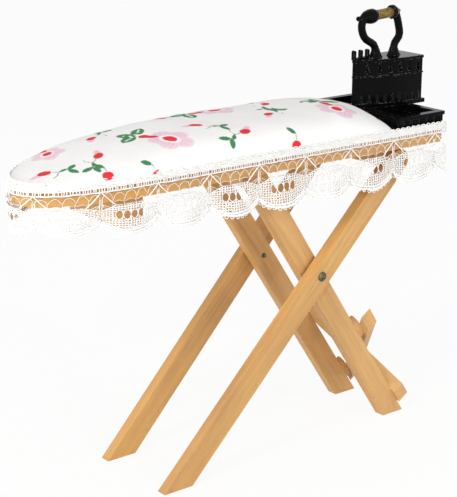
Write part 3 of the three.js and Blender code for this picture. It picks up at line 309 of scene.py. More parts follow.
BRASS_RIM = 0.45 * MM
BRASS_RIM_TINT = (0.85, 0.70, 0.42)
BRASS_RIM_STRENGTH = 0.7
BRASS_TINTS = [(0.3, (0.12, 0.074, 0.018)), (0.5, (0.22, 0.142, 0.038)), (0.75, (0.47, 0.33, 0.125))]
BRASS_CLOUD_SCALE = 900.0
BRASS_RELIEF = 0.08 * MM
NAIL_TINTS = [(0.35, (0.030, 0.032, 0.014)), (0.65, (0.20, 0.18, 0.09))]
NAIL_CLOUD_SCALE = 1500.0
NAIL_RELIEF = 0.06 * MM


def brass_material():
    material, tree = new_material("brass")
    place = object_place(tree)
    cloud = noise(tree, place, BRASS_CLOUD_SCALE, 4.0, 0.65)
    along = node(tree, "ShaderNodeSeparateXYZ", {"Vector": place}).outputs["X"]
    low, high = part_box("iron_handle_sleeve")
    from_middle = maths(tree, "ABSOLUTE", maths(tree, "SUBTRACT", along, (low.x + high.x) / 2))
    past_start = maths(tree, "SUBTRACT", from_middle, (high.x - low.x) / 2 - BRASS_RIM)
    rims = maths(tree, "DIVIDE", past_start, BRASS_RIM / 2, clamp=True)
    rims = maths(tree, "MULTIPLY", rims, BRASS_RIM_STRENGTH)
    values = {
        "Base Color": mix(tree, rims, ramp(tree, cloud, BRASS_TINTS), BRASS_RIM_TINT),
        "Roughness": slope(tree, cloud, 0.3, 0.7, 0.5, 0.3),
        "Metallic": 1.0,
        "Normal": bump(tree, cloud, 0.3, BRASS_RELIEF),
    }
    return finished(material, values)


def nail_material():
    material, tree = new_material("nail_metal")
    cloud = noise(tree, object_place(tree), NAIL_CLOUD_SCALE, 4.0, 0.6)
    values = {
        "Base Color": ramp(tree, cloud, NAIL_TINTS),
        "Roughness": slope(tree, cloud, 0.3, 0.7, 0.6, 0.38),
        "Metallic": 0.6,
        "Normal": bump(tree, cloud, 0.4, NAIL_RELIEF),
    }
    return finished(material, values)


CASTING_EDGE = (0.15 * MM, 3)  # width, segments
BRASS_EDGE = 0.06 * MM
NAIL_EDGE = 0.05 * MM
BLACK = black_material("black_casting", CASTING_GLINT_AND_WEAR)
TRAY_BLACK = black_material("black_tray", TRAY_GLINT_AND_WEAR)
BRASS = brass_material()
NAIL = nail_material()
CASTINGS = ("iron_sole", "iron_body", "iron_lid", "iron_nose_comb", "iron_handle_front", "iron_handle_rear")
dress("iron_tray", TRAY_BLACK, *CASTING_EDGE)
for piece_name in CASTINGS:
    dress(piece_name, BLACK, *CASTING_EDGE)
for piece_name in ("iron_handle_rod", "iron_handle_sleeve"):
    dress(piece_name, BRASS, BRASS_EDGE)
for piece_name in ("hinge_nail_near", "hinge_nail_far", "pivot_nail_near", "pivot_nail_far"):
    dress(piece_name, NAIL, NAIL_EDGE)


# Outline of the board in plan, from the near square corner round the nose to the far one

TAIL_X, TAIL_HALF = PLANK_HIGH.x, PLANK_HIGH.y
NOSE_LENGTH = 29.4 * MM
NOSE_SKEW = 4.0 * MM
SHOULDER_X = PLANK_LOW.x + NOSE_LENGTH
SHOULDER_HALF = 15.0 * MM
BOARD_TOP = PLANK_HIGH.z
OUTLINE_STEPS = 400


def half_width(x, offset):
    """Half width at x of the wooden board's outline, moved outwards by an offset."""
    if x >= SHOULDER_X:
        wider = (TAIL_HALF - SHOULDER_HALF) * (x - SHOULDER_X) / (TAIL_X - SHOULDER_X)
        return SHOULDER_HALF + wider + offset
    share = min((SHOULDER_X - x) / (NOSE_LENGTH + offset), 1.0)
    return (SHOULDER_HALF + offset) * math.sin(math.acos(share))


def lean(x):
    """How far the nose is drawn to the near side at x."""
    ahead = np.clip((SHOULDER_X - np.asarray(x, float)) / NOSE_LENGTH, 0, None)
    return -NOSE_SKEW * ahead * ahead


TINY = 1e-12


def unit_rows(vectors):
    return vectors / np.maximum(np.linalg.norm(vectors, axis=1), TINY)[:, None]


def running(points):
    """Length run from the first point to each."""
    return np.concatenate(([0.0], np.cumsum(np.linalg.norm(np.diff(points, axis=0), axis=1))))


class Outline:
    """Running length, place and outward direction round the board's edge."""

    def __init__(self):
        turns = np.linspace(0, math.pi / 2, OUTLINE_STEPS)
        nose_x = SHOULDER_X - NOSE_LENGTH * np.cos(turns)
        nose_y = SHOULDER_HALF * np.sin(turns)
        xs = np.concatenate(([TAIL_X], nose_x[::-1], nose_x[1:], [TAIL_X]))
        ys = np.concatenate(([-TAIL_HALF], -nose_y[::-1], nose_y[1:], [TAIL_HALF]))
        self.points = np.stack([xs, ys + lean(xs)], 1)
        self.runs = running(self.points)
        self.total = self.runs[-1]
        ahead = unit_rows(np.gradient(self.points, axis=0))
        self.outward = np.stack([-ahead[:, 1], ahead[:, 0]], 1)

    def at(self, run, offset, z):
        """Points in space for running lengths, outward offsets and heights."""
        run = np.asarray(run, float)
        columns = (*self.points.T, *self.outward.T)
        x, y, out_x, out_y = (np.interp(run, self.runs, column) for column in columns)
        size = np.hypot(out_x, out_y)
        height = np.broadcast_to(z, x.shape)
        return np.stack([x + out_x / size * offset, y + out_y / size * offset, height], -1)


OUTLINE = Outline()


def new_object(name, vertices, faces, material, smooth=True):
    mesh = bpy.data.meshes.new(name)
    mesh.from_pydata([tuple(v) for v in vertices], [], faces)
    mesh.validate()
    mesh.materials.append(material)
    if smooth:
        mesh.polygons.foreach_set("use_smooth", [True] * len(mesh.polygons))
    made = bpy.data.objects.new(name, mesh)
    SCENE.collection.objects.link(made)
    return made


# Padding and cover: a crowned form that falls to the nose and rolls over at its square end

PAD_HEIGHT = 6.4 * MM
PAD_NOSE_RUN_X = SHOULDER_X + 24.0 * MM
PAD_NOSE_POWER = 0.95
PAD_END_X = COVER_HIGH.x
PAD_END_RUN = 14.0 * MM
PAD_END_DROP = 1.7 * MM
SECTION_POWER = 3.2
NOSE_SECTION_POWER = 2.15
NEAR_END_POWER = 1.5
FAR_END_POWER = 2.7
COVER_OFFSET = 0.41 * MM
COVER_THICKNESS = 0.28 * MM
SKIRT_DROP = 0.9 * MM
SKIRT_ROWS = 3
END_ROUND = 1.6 * MM
END_ROWS = 12
ALONG_NOSE, ALONG_STRAIGHT, ACROSS = 120, 190, 110
COVER_SEAT = 0.05 * MM
RIPPLE_FROM = 1.0 * MM
GATHER = 0.16 * MM
GATHER_SIDE_SHARE = 0.35
GATHER_NOSE_SHARE = 1.1
GATHER_NOSE_REACH = 46.0 * MM
GATHER_RATES = (210.0, 2450.0, 3900.0)  # slow, main and fine waves, in radians for each metre
GATHER_FADE = 1.6
GATHER_FULL_WIDTH = 4.0 * MM


def crown(x):
    """Height of the cover's middle over the wood."""
    if x < PAD_NOSE_RUN_X:
        run = min((PAD_NOSE_RUN_X - x) / (PAD_NOSE_RUN_X - PLANK_LOW.x), 1.0)
        return PAD_HEIGHT * max(1.0 - run * run, 0.0) ** PAD_NOSE_POWER
    start = PAD_END_X - PAD_END_RUN
    if x > start:
        run = (x - start) / PAD_END_RUN
        return PAD_HEIGHT - PAD_END_DROP * run * run
    return PAD_HEIGHT


def ripple(x, y):
    """Slow unevenness of the stretched cloth, from a few fixed waves."""
    waves = (  # height in millimetres, radians for each metre along and across, phase
        (0.05, 310.0, 120.0, 0.4),
        (0.035, 140.0, -420.0, 1.9),
        (0.03, 620.0, 330.0, 3.1),
        (0.02, -900.0, 700.0, 0.7),
    )
    return sum(size * math.sin(a * x + b * y + c) for size, a, b, c in waves) * MM


def gathers(run):
    """Small puckers where the cloth is drawn over the edge; stronger round the nose."""
    around = abs(run - OUTLINE.total / 2)
    nose = max(0.0, 1.0 - (around / GATHER_NOSE_REACH) ** 2)
    slow_rate, main_rate, fine_rate = GATHER_RATES
    slow = 0.5 + 0.5 * math.sin(run * slow_rate + 1.3)
    quick = math.sin(run * main_rate) + 0.5 * math.sin(run * fine_rate + 0.8)
    return GATHER * (GATHER_SIDE_SHARE + GATHER_NOSE_SHARE * nose) * slow * quick


def cover_rows(offset, sink, end_back):
    """Grid of points of the cloth's outer face: rows along the board, columns across."""
    turns = np.linspace(0, 1, ALONG_NOSE)
    nose_x = [SHOULDER_X - (NOSE_LENGTH + offset) * math.cos(t * math.pi / 2) for t in turns]
    end_x = PAD_END_X - end_back
    straight = list(np.linspace(SHOULDER_X, end_x - END_ROUND, ALONG_STRAIGHT))[1:]
    stations = [(x, 0.0) for x in nose_x + straight]
    for i in range(1, END_ROWS + 1):
        turn = i / END_ROWS * math.pi / 2
        stations.append((end_x - END_ROUND + END_ROUND * math.sin(turn), END_ROUND * (1 - math.cos(turn))))
    rows = []
    for x, drop in stations:
        half = half_width(x, offset)
        height = max(crown(max(x, PLANK_LOW.x)) - sink - drop, 0.0)
        near_end = min(max((x - PAD_END_X + PAD_END_RUN) / PAD_END_RUN, 0.0), 1.0)
        from_nose = min(max((x - PLANK_LOW.x) / (PAD_NOSE_RUN_X - PLANK_LOW.x), 0.0), 1.0)
        middle_power = NOSE_SECTION_POWER + (SECTION_POWER - NOSE_SECTION_POWER) * from_nose
        run_near = np.interp(-x, -OUTLINE.points[: OUTLINE_STEPS + 1, 0], OUTLINE.runs[: OUTLINE_STEPS + 1])
        row = []
        for j in range(ACROSS + 1):
            turn = -math.pi / 2 + math.pi * j / ACROSS
            end_power = NEAR_END_POWER if turn < 0 else FAR_END_POWER
            power = 2 / (middle_power + (end_power - middle_power) * near_end)
            across = math.copysign(abs(math.sin(turn)) ** power, turn)
            up = max(math.cos(turn), 0.0) ** power
            run = run_near if across < 0 else OUTLINE.total - run_near
            low = max(0.0, 1.0 - up * GATHER_FADE)
            draw = gathers(run) * low * min(1.0, half / GATHER_FULL_WIDTH)
            y = across * (half + draw) + float(lean(x))
            z = BOARD_TOP + COVER_SEAT + height * up
            if height > RIPPLE_FROM:
                z += ripple(x, y) * up
            row.append((x, y, z))
        rows.append(row)
    return rows


# Printed motifs: own blossoms, buds and sprigs, as distances to their outlines in millimetres

FAR_AWAY = 1e3


def disc(p, q, x, y, radius):
    return np.hypot(p - x, q - y) - radius


def away(x, y, angle, reach):
    """The point at a distance from x, y."""
    return x + reach * math.cos(angle), y + reach * math.sin(angle)


def sized(values, size):
    return [value * size for value in values]


def nearest(fields, others):
    return [np.minimum(one, other) for one, other in zip(fields, others)]


def turned(p, q, x, y, angle):
    cos_a, sin_a = math.cos(angle), math.sin(angle)
    return (p - x) * cos_a + (q - y) * sin_a, -(p - x) * sin_a + (q - y) * cos_a


def oval(p, q, x, y, angle, long_radius, short_radius):
    a, b = turned(p, q, x, y, angle)
    size = np.hypot(a / long_radius, b / short_radius)
    return (size - 1.0) * short_radius


def leaf(p, q, x, y, angle, length, width):
    """Pointed leaf from its stalk end at x, y."""
    a, b = turned(p, q, x, y, angle)
    middle = length / 2
    radius = (middle * middle + (width / 2) ** 2) / width
    off = radius - width / 2
    return np.maximum(np.hypot(a - middle, b - off), np.hypot(a - middle, b + off)) - radius


def stroke(p, q, points, width):
    """Thin line through a few points."""
    best = np.full(p.shape, FAR_AWAY)
    for (x0, y0), (x1, y1) in zip(points, points[1:]):
        dx, dy = x1 - x0, y1 - y0
        along = np.clip(((p - x0) * dx + (q - y0) * dy) / (dx * dx + dy * dy), 0, 1)
        best = np.minimum(best, np.hypot(p - x0 - along * dx, q - y0 - along * dy) - width / 2)
    return best


BLOOMS = [  # place along and across in millimetres from the nose and the middle, turn, size
    (14.0, 7.0, 0.6, 1.0),
    (37.0, -8.0, 1.5, 1.2),
    (61.5, 7.5, 2.4, 1.15),
    (86.5, -8.0, 0.7, 1.22),
    (43.0, 19.0, 0.2, 1.0),
    (90.0, 18.0, 1.1, 1.0),
]
SPRIGS = [  # place of the bud, direction
    (6.5, -2.5, 2.5),
    (19.5, -5.5, 0.7),
    (25.5, 6.0, 3.7),
    (47.5, -3.5, 2.4),
    (55.0, -12.0, 0.3),
    (47.0, 9.5, 5.4),
    (68.5, -4.0, 3.6),
    (75.5, 5.5, 0.8),
    (73.0, 17.0, 2.0),
    (99.0, 6.0, 2.3),
    (28.0, 17.0, 0.4),
]
CHERRIES = [  # place at the cloth's edge, direction of the stalk
    (16.5, -13.5, 1.3),
    (28.0, -17.6, 1.8),
    (67.0, -18.2, 1.4),
    (98.5, -16.8, 1.7),
    (60.0, 18.6, 4.6),
]

PETALS = 5
PETAL_REACH = 2.25
PETAL_REACH_SPREAD = 0.35
PETAL_TURN_SPREAD = 0.12
PETAL_RADII = (2.15, 1.95)
PETAL_RAYS = 19
HEART_RADII = (1.5, 1.1)
WHITE_RING = 0.55
BUD_REACHES = (3.9, 5.3)
BUD_RADII = (1.5, 0.75)
STALK_REACHES = (6.2, 7.1)
BLOOM_LEAVES = ((1.5, 4.7), (-1.4, 5.2), (0.1, 3.6))  # turn from the bud's direction, length
BLOOM_LEAF_WIDTH = 2.5
LEAF_SLIT_WIDTH = 0.42
LEAF_SLIT_ENDS = (0.8, 1.1)
STALK_WIDTH = 0.3


def bloom_petals(p, q, x, y, turn, size):
    """Rounded petals, and the pale streaks along their rims and rays."""
    petal = np.full(p.shape, FAR_AWAY)
    streaks = np.zeros(p.shape)
    for k in range(PETALS):
        angle = turn + 2 * math.pi * k / PETALS + PETAL_TURN_SPREAD * math.sin(3.1 * k)
        reach = (PETAL_REACH + PETAL_REACH_SPREAD * math.sin(2.3 * k + turn)) * size
        one = oval(p, q, *away(x, y, angle, reach), angle, *sized(PETAL_RADII, size))
        petal = np.minimum(petal, one)
        rim = np.exp(-((one + 0.3) ** 2) / 0.05)
        streaks = np.maximum(streaks, np.where(one < 0, 0.75 * rim, 0.0))
    around = np.arctan2(q - y, p - x)
    out = np.hypot(p - x, q - y)
    rays = 0.5 + 0.5 * np.sin(PETAL_RAYS * around + 2.5 * np.sin(out * 1.7))
    return petal, np.maximum(streaks, rays * np.clip(out / (3.2 * size), 0, 1) * 0.8)


def slit_leaf(p, q, root, angle, length, size):
    """Leaf with a bare slit along its middle."""
    blade = leaf(p, q, *root, angle, length * size, BLOOM_LEAF_WIDTH * size)
    foot_gap, tip_gap = LEAF_SLIT_ENDS
    slit = [away(*root, angle, reach) for reach in sized((foot_gap, length - tip_gap), size)]
    return np.maximum(blade, -stroke(p, q, slit, LEAF_SLIT_WIDTH * size))


def bloom(p, q, x, y, turn, size):
    """Pale bloom with a red heart in a white ring, a red bud at its side and three leaves."""
    petal, streaks = bloom_petals(p, q, x, y, turn, size)
    heart = oval(p, q, x, y, turn + 0.4, *sized(HEART_RADII, size))
    petal = np.maximum(petal, WHITE_RING * size - heart)
    side = turn + math.pi / PETALS
    place, end = (away(x, y, side, reach) for reach in sized(BUD_REACHES, size))
    bud = oval(p, q, *place, side + 0.3, *sized(BUD_RADII, size))
    bud = np.minimum(bud, disc(p, q, *end, size))
    stalk, root = (away(x, y, side, reach) for reach in sized(STALK_REACHES, size))
    green = stroke(p, q, [stalk, root], STALK_WIDTH)
    for spread, length in BLOOM_LEAVES:
        green = np.minimum(green, slit_leaf(p, q, root, side + spread, length, size))
    return petal, np.minimum(heart, bud), green, streaks


SPRIG_BUD_RADII = (1.65, 1.05)
SMEAR_RADII = (1.7, 0.75)
SPRIG_STALK_WIDTH = 0.28
SPRIG_TWIG_WIDTH = 0.26


def sprig(p, q, x, y, turn):
    """Small oval bud with a pale smear beside it and a forked green stalk."""
    cos_a, sin_a = math.cos(turn), math.sin(turn)

    def place(along, across):
        return (x + along * cos_a - across * sin_a, y + along * sin_a + across * cos_a)

    red = oval(p, q, x, y, turn, *SPRIG_BUD_RADII)
    petal = oval(p, q, *place(1.6, 0.75), turn + 0.35, *SMEAR_RADII)
    fork, low = place(-3.4, 0.5), place(-5.4, -0.1)
    green = stroke(p, q, [place(-1.6, 0.0), fork, low], SPRIG_STALK_WIDTH)
    twig = stroke(p, q, [fork, place(-3.0, 2.1), place(-2.2, 2.9)], SPRIG_TWIG_WIDTH)
    green = np.minimum(green, twig)
    for root, angle, length, width in ((low, 2.5, 3.2, 1.5), (low, -2.2, 2.9, 1.4), (fork, -2.6, 2.2, 1.0)):
        green = np.minimum(green, leaf(p, q, *root, turn + angle, length, width))
    return petal, red, green


CHERRY_RADII = (1.35, 1.1)
CHERRY_STALK = 2.6
CHERRY_LEAF = (2.8, 1.4)


def cherry(p, q, x, y, turn):
    """Small round fruit with a short stalk and one leaf."""
    end = away(x, y, turn, CHERRY_STALK)
    red = oval(p, q, x, y, turn + 1.5, *CHERRY_RADII)
    green = stroke(p, q, [(x, y), end], STALK_WIDTH)
    return red, np.minimum(green, leaf(p, q, *end, turn + 0.7, *CHERRY_LEAF))


def print_fields(p, q):
    """Distances to the pale petals, the red parts and the green parts, and the petals' streaks."""
    petal, red, green = (np.full(p.shape, FAR_AWAY) for _ in range(3))
    streaks = np.zeros(p.shape)
    for motif in BLOOMS:
        pale, warm, leaves, rays = bloom(p, q, *motif)
        petal, red, green = nearest((petal, red, green), (pale, warm, leaves))
        streaks = np.where(pale < 0.3, rays, streaks)
    for motif in SPRIGS:
        petal, red, green = nearest((petal, red, green), sprig(p, q, *motif))
    for motif in CHERRIES:
        red, green = nearest((red, green), cherry(p, q, *motif))
    return petal, red, np.where(red < 0.1, FAR_AWAY, green), streaks


def write_print(mesh, along, across):
    petal, red, green, streaks = print_fields(along, across)
    for name, values in (("petal", petal), ("red", red), ("green", green), ("streaks", streaks)):
        layer = mesh.attributes.new(name, "FLOAT", "POINT")
        layer.data.foreach_set("value", np.clip(values, -5, 5).astype(np.float32))


# Printed cotton with a fine weave, and lace thread

COTTON_TINTS = [(0.3, (0.88, 0.868, 0.85)), (0.7, (0.90, 0.89, 0.875))]
COTTON_CLOUD_SCALE = 120.0
PRINT_PINK = (0.76, 0.38, 0.52)
PRINT_PALE = (0.86, 0.60, 0.70)
PRINT_RED = (0.72, 0.010, 0.020)
PRINT_GREEN = (0.010, 0.20, 0.055)
PRINT_STREAK = (0.90, 0.76, 0.82)
PRINT_CLOUD_SCALE = 900.0
RAGGED_EDGE = 0.35
RAGGED_SCALE = 2200.0
WEAVE_PITCH = 0.28 * MM
WEAVE_RELIEF = 0.06 * MM
WAVE_RADIANS = 20.0  # that the wave texture runs for each unit of its scale
LACE_TINTS = [(0.25, (0.86, 0.852, 0.832)), (0.7, (0.94, 0.932, 0.915))]
TWIST_SCALE = 3500.0
TWIST_RELIEF = 0.05 * MM
GLOW_DEPTH = 0.08 * MM


def cotton_material():
    material, tree = new_material("printed_cotton")
    place = object_place(tree)

    def field(name):
        return node(tree, "ShaderNodeAttribute", attribute_name=name).outputs["Fac"]

    unevenness = maths(tree, "SUBTRACT", noise(tree, place, RAGGED_SCALE, 2.0), 0.5)
    ragged = maths(tree, "MULTIPLY", unevenness, RAGGED_EDGE)

    def inside(name, softness):
        edge = maths(tree, "ADD", field(name), ragged)
        return maths(tree, "SUBTRACT", 0.5, maths(tree, "DIVIDE", edge, softness), clamp=True)

    pink = mix(tree, noise(tree, place, PRINT_CLOUD_SCALE, 3.0, 0.6), PRINT_PINK, PRINT_PALE)
    pink = mix(tree, maths(tree, "MULTIPLY", field("streaks"), 0.8, clamp=True), pink, PRINT_STREAK)
    colour = ramp(tree, noise(tree, place, COTTON_CLOUD_SCALE, 2.0), COTTON_TINTS)
    dyes = (("petal", 0.45, 0.9, pink), ("red", 0.22, 0.97, PRINT_RED), ("green", 0.22, 0.95, PRINT_GREEN))
    for name, softness, strength, dye in dyes:
        colour = mix(tree, maths(tree, "MULTIPLY", inside(name, softness), strength), colour, dye)

    def threads(axis):
        scale = 2 * math.pi / WEAVE_PITCH / WAVE_RADIANS
        values = {"Vector": place, "Scale": scale, "Distortion": 0.6, "Detail": 1.0, "Detail Scale": 2.0}
        wave = node(tree, "ShaderNodeTexWave", values, wave_type="BANDS", bands_direction=axis)
        return wave.outputs["Fac"]

    weave = maths(tree, "MULTIPLY", threads("X"), threads("Y"))
    values = {
        "Base Color": mix(tree, 1.0, colour, slope(tree, weave, 0.0, 0.6, 0.93, 1.0), "MULTIPLY"),
        "Roughness": 0.9,
        "Specular IOR Level": 0.1,
        "Sheen Weight": 0.04,
        "Sheen Roughness": 0.5,
        "Normal": bump(tree, weave, 0.35, WEAVE_RELIEF),
    }
    return finished(material, values)


def lace_material():
    material, tree = new_material("lace_thread")
    twist = noise(tree, object_place(tree), TWIST_SCALE, 3.0, 0.6)
    values = {
        "Base Color": ramp(tree, twist, LACE_TINTS),
        "Roughness": 0.85,
        "Specular IOR Level": 0.2,
        "Sheen Weight": 0.1,
        "Subsurface Weight": 0.6,
        "Subsurface Radius": WHITE,
        "Subsurface Scale": GLOW_DEPTH,
        "Normal": bump(tree, twist, 0.4, TWIST_RELIEF),
    }
    return finished(material, values)


def grid_faces(rows, columns):
    return [
        (i * columns + j, (i + 1) * columns + j, (i + 1) * columns + j + 1, i * columns + j + 1)
        for i in range(rows - 1)
        for j in range(columns - 1)
    ]


COVER_END_FOOT = 0.1 * MM
COVER_END_BULGE = 0.12 * MM


def make_cover():
    skirt = [BOARD_TOP - SKIRT_DROP * (k + 1) / SKIRT_ROWS for k in range(SKIRT_ROWS)]
    grid = []
    for row in cover_rows(COVER_OFFSET, 0.0, 0.0):
        near = [(*row[0][:2], z) for z in skirt[::-1]]
        grid.append(near + row + [(*row[-1][:2], z) for z in skirt])
    points = np.array(grid)
    last = points[-1]
    fall = np.linspace(0, 1, END_ROWS + 1)[1:]
    floor = np.minimum(last[:, 2], BOARD_TOP + COVER_END_FOOT)
    ends = []
    for share in fall:
        row = last.copy()
        row[:, 2] = last[:, 2] + (floor - last[:, 2]) * share
        row[:, 0] = last[:, 0] + COVER_END_BULGE * np.sin(share * math.pi)
        ends.append(row)
    points = np.concatenate([points, np.array(ends)])
    count, columns = points.shape[:2]
    across = np.zeros((count, columns))
    steps = np.linalg.norm(np.diff(points, axis=1), axis=2)
    across[:, 1:] = np.cumsum(steps, axis=1)
    across -= across[:, -1:] / 2
    along = np.repeat((points[:, columns // 2, 0] - PLANK_LOW.x)[:, None], columns, 1)
    drop = points[-END_ROWS - 1, :, 2] - points[-END_ROWS:, :, 2]
    along[-END_ROWS:] += np.maximum(drop, 0)
    cover = new_object("cotton_cover", points.reshape(-1, 3), grid_faces(count, columns), cotton_material())
    write_print(cover.data, along.reshape(-1) / MM, across.reshape(-1) / MM)
    thick = cover.modifiers.new("cloth_thickness", "SOLIDIFY")
    thick.thickness = COVER_THICKNESS
    thick.offset = -1.0
    return cover


# Wadding under the cover: the cover's own form, drawn in a little

PAD_TINTS = [(0.3, (0.74, 0.72, 0.68)), (0.7, (0.86, 0.85, 0.82))]
PAD_FLUFF_SCALE = 1800.0
PAD_RELIEF = 0.2 * MM
PAD_INSET = 0.2 * MM
PAD_SINK = 0.5 * MM
PAD_BACK = 0.6 * MM
PAD_LEAST_HEIGHT = 0.3 * MM
PAD_ROW_STEP = 6
PAD_COLUMN_STEP = 5


def padding_material():
    material, tree = new_material("wadding")
    fluff = noise(tree, object_place(tree), PAD_FLUFF_SCALE, 5.0, 0.7)
    values = {
        "Base Color": ramp(tree, fluff, PAD_TINTS),
        "Roughness": 0.95,
        "Normal": bump(tree, fluff, 0.5, PAD_RELIEF),
    }
    return finished(material, values)


def make_padding():
    rows = cover_rows(-PAD_INSET, PAD_SINK, PAD_BACK)
    rows = [row for row in rows if row[ACROSS // 2][2] > BOARD_TOP + PAD_LEAST_HEIGHT]
    rows = rows[::PAD_ROW_STEP] + [rows[-1]]
    grid = [row[::PAD_COLUMN_STEP] for row in rows]
    count, columns = len(grid), len(grid[0])
    vertices = [point for row in grid for point in row]
    faces = grid_faces(count, columns)
    start = (count - 1) * columns
    faces += [tuple(range(columns - 1, -1, -1)), tuple(range(start, start + columns))]
    for i in range(count - 1):
        near, near_next = i * columns, (i + 1) * columns
        faces.append((near, near + columns - 1, near_next + columns - 1, near_next))
    return new_object("wadding", vertices, faces, padding_material())


# Tubes for threads

THREAD_SIDES = 4
HEM_SIDES = 6
TUBE_GUIDE = np.array([0.31, 0.17, 0.93])


def add_tube(vertices, faces, line, directions, radius, sides, first_turn=0.0):
    """Adds a closed tube round a line, from two directions square to it at each of its points."""
    start = len(vertices)
    for place, a, b in zip(line, *directions):
        for k in range(sides):
            turn = first_turn + 2 * math.pi * k / sides
            vertices.append(place + (a * math.cos(turn) + b * math.sin(turn)) * radius)
    for i in range(len(line) - 1):
        low = start + i * sides
        for k in range(sides):
            m = (k + 1) % sides
            faces.append((low + k, low + m, low + sides + m, low + sides + k))
    end = start + (len(line) - 1) * sides
    faces += [tuple(range(start + sides - 1, start - 1, -1)), tuple(range(end, end + sides))]


def tube(vertices, faces, line, radius, sides):
    """Adds a closed tube round a line of points in space."""
    line = np.asarray(line, float)
    ahead = unit_rows(np.gradient(line, axis=0))
    across = unit_rows(np.cross(ahead, TUBE_GUIDE))
    add_tube(vertices, faces, line, (across, np.cross(across, ahead)), radius, sides)


# Rolled edge of the cloth at its square end, whipped with thread

HEM_STEP = 0.3 * MM
HEM_RADIUS = 0.16 * MM
HEM_LEAST_HEIGHT = 0.2 * MM
WHIP_RADIUS = 0.075 * MM
WHIP_SLANT = 0.12 * MM
WHIP_BACK = np.array([-0.75, -0.12, 0.18]) * MM
WHIP_OVER = np.array([-0.2 * MM, 0.0, HEM_RADIUS + 0.1 * MM])
WHIP_FRONT = np.array([HEM_RADIUS + 0.04 * MM, 0.1 * MM, -0.1 * MM])


def make_hem():
    row = cover_rows(COVER_OFFSET, 0.0, 0.0)[-END_ROWS // 2]
    row = np.array([point for point in row if point[2] > BOARD_TOP + HEM_LEAST_HEIGHT])
    runs = running(row)
    along = np.linspace(0, runs[-1], int(runs[-1] / HEM_STEP))
    line = np.stack([np.interp(along, runs, row[:, k]) for k in range(3)], 1)
    vertices, faces = [], []
    tube(vertices, faces, line, HEM_RADIUS, HEM_SIDES)
    for number, place in enumerate(line[::2]):
        slant = np.array([0.0, WHIP_SLANT * math.sin(number * 1.7), 0.0])
        stitch = (place + WHIP_BACK + slant, place + WHIP_OVER, place + WHIP_FRONT)
        tube(vertices, faces, stitch, WHIP_RADIUS, THREAD_SIDES)
    return new_object("cover_hem", vertices, faces, lace_material())


cover = make_cover()
hem = make_hem()
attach(cover, "board")
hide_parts("pad_cover")
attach(hem, "board")
padding = make_padding()
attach(padding, "board")
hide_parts("pad_wadding")


# Lace: threads laid out flat as running length and depth in millimetres, then hung round the edge

LACE_TOP = BOARD_TOP + 1.1 * MM
LACE_OFFSET = 0.80
LACE_END_RUN = 4.1
LACE_END_GAP = 0.1
LACE_LEAST_RUN = 0.05
LACE_REPEATS = 17
PITCH = (OUTLINE.total / MM - 2 * LACE_END_RUN) / LACE_REPEATS
TAPE_DEPTH = 2.7
ARCH_TOP_DEPTH = 3.15
ARCH_FOOT_DEPTH = 4.5
ROW_PEAK_DEPTH = 4.95
ROW_FOOT_DEPTH = 5.3
GROUND_DEPTH = 6.1
NOTCH_DEPTH = 9.9
SCALLOP_DEPTH = 13.4
NET_RADIUS = 0.14
THIN_RADIUS = 0.1
LEVEL_RADIUS = 0.12
GROUND_RADIUS = 0.058
CORD_RADIUS = 0.13
EDGE_RADIUS = 0.33
INNER_EDGE_RADIUS = 0.24
JITTER = 0.045

FREE_DEPTH = 5.2
SWAY = 0.55
SLOW_SWAY = 0.18
TUCK_DEPTH = 1.6
SHORTER_DEPTH = 4.8
NOSE_REACH = 32.0
NOSE_SHORTER = 0.22
NOSE_INWARD = 1.5


def hang(points):
    """Flat points (run, depth, proud) in millimetres to points in space."""
    flat = np.asarray(points, float)
    run, depth, proud = flat[:, 0], flat[:, 1], flat[:, 2]
    nose = 1.0 / (1.0 + ((run - OUTLINE.total / MM / 2) / NOSE_REACH) ** 4)
    free = np.clip((depth - FREE_DEPTH) / (SCALLOP_DEPTH - FREE_DEPTH), 0, None)
    sway = SWAY * free * (1.0 - np.cos(2 * math.pi * (run - LACE_END_RUN) / PITCH))
    sway = sway + SLOW_SWAY * free * np.sin(run * 0.41)
    sway = sway - NOSE_INWARD * nose * free
    tuck = -(0.25 + 0.6 * nose) * np.clip(TUCK_DEPTH - depth, 0, 1)
    shorter = np.clip(depth - SHORTER_DEPTH, 0, None) * (NOSE_SHORTER * nose + 0.02 * np.sin(run * 0.19))
    out = LACE_OFFSET + proud + sway + tuck
    return OUTLINE.at(run * MM, out * MM, LACE_TOP - (depth - shorter) * MM)


class Threads:
    """Collects flat lines and turns them into one mesh of thin closed tubes."""

    def __init__(self):
        self.vertices, self.faces = [], []

    def add(self, points, radius, jitter=JITTER):
        points = np.asarray(points, float)
        if points.shape[1] == 2:
            points = np.column_stack([points, np.zeros(len(points))])
        points[:, 0] = np.clip(points[:, 0], LACE_LEAST_RUN, OUTLINE.total / MM - LACE_LEAST_RUN)
        points = points + np.array([[random.gauss(0, jitter), random.gauss(0, jitter), 0] for _ in points])
        line = hang(points)
        outward = hang(points + np.array([0, 0, 1.0])) - line
        ahead = unit_rows(np.gradient(line, axis=0))
        across = unit_rows(np.cross(ahead, outward))
        directions = (across, np.cross(across, ahead))
        half_turn = math.pi / THREAD_SIDES
        add_tube(self.vertices, self.faces, line, directions, radius * MM, THREAD_SIDES, half_turn)


V_REACH_SHARE = 0.265
NET_DIP = 1.3
OVAL_HALF_WIDTH, OVAL_HALF_HEIGHT = 0.9, 1.15
OVAL_PITCH = 1.78
OVAL_DEPTH = 8.9
OVAL_RISE = 0.12
OVAL_PLACES = (-1.5, -0.5, 0.5, 1.5)
OVALS = [(0.5 + place * OVAL_PITCH / PITCH, OVAL_DEPTH - OVAL_RISE * abs(place)) for place in OVAL_PLACES]


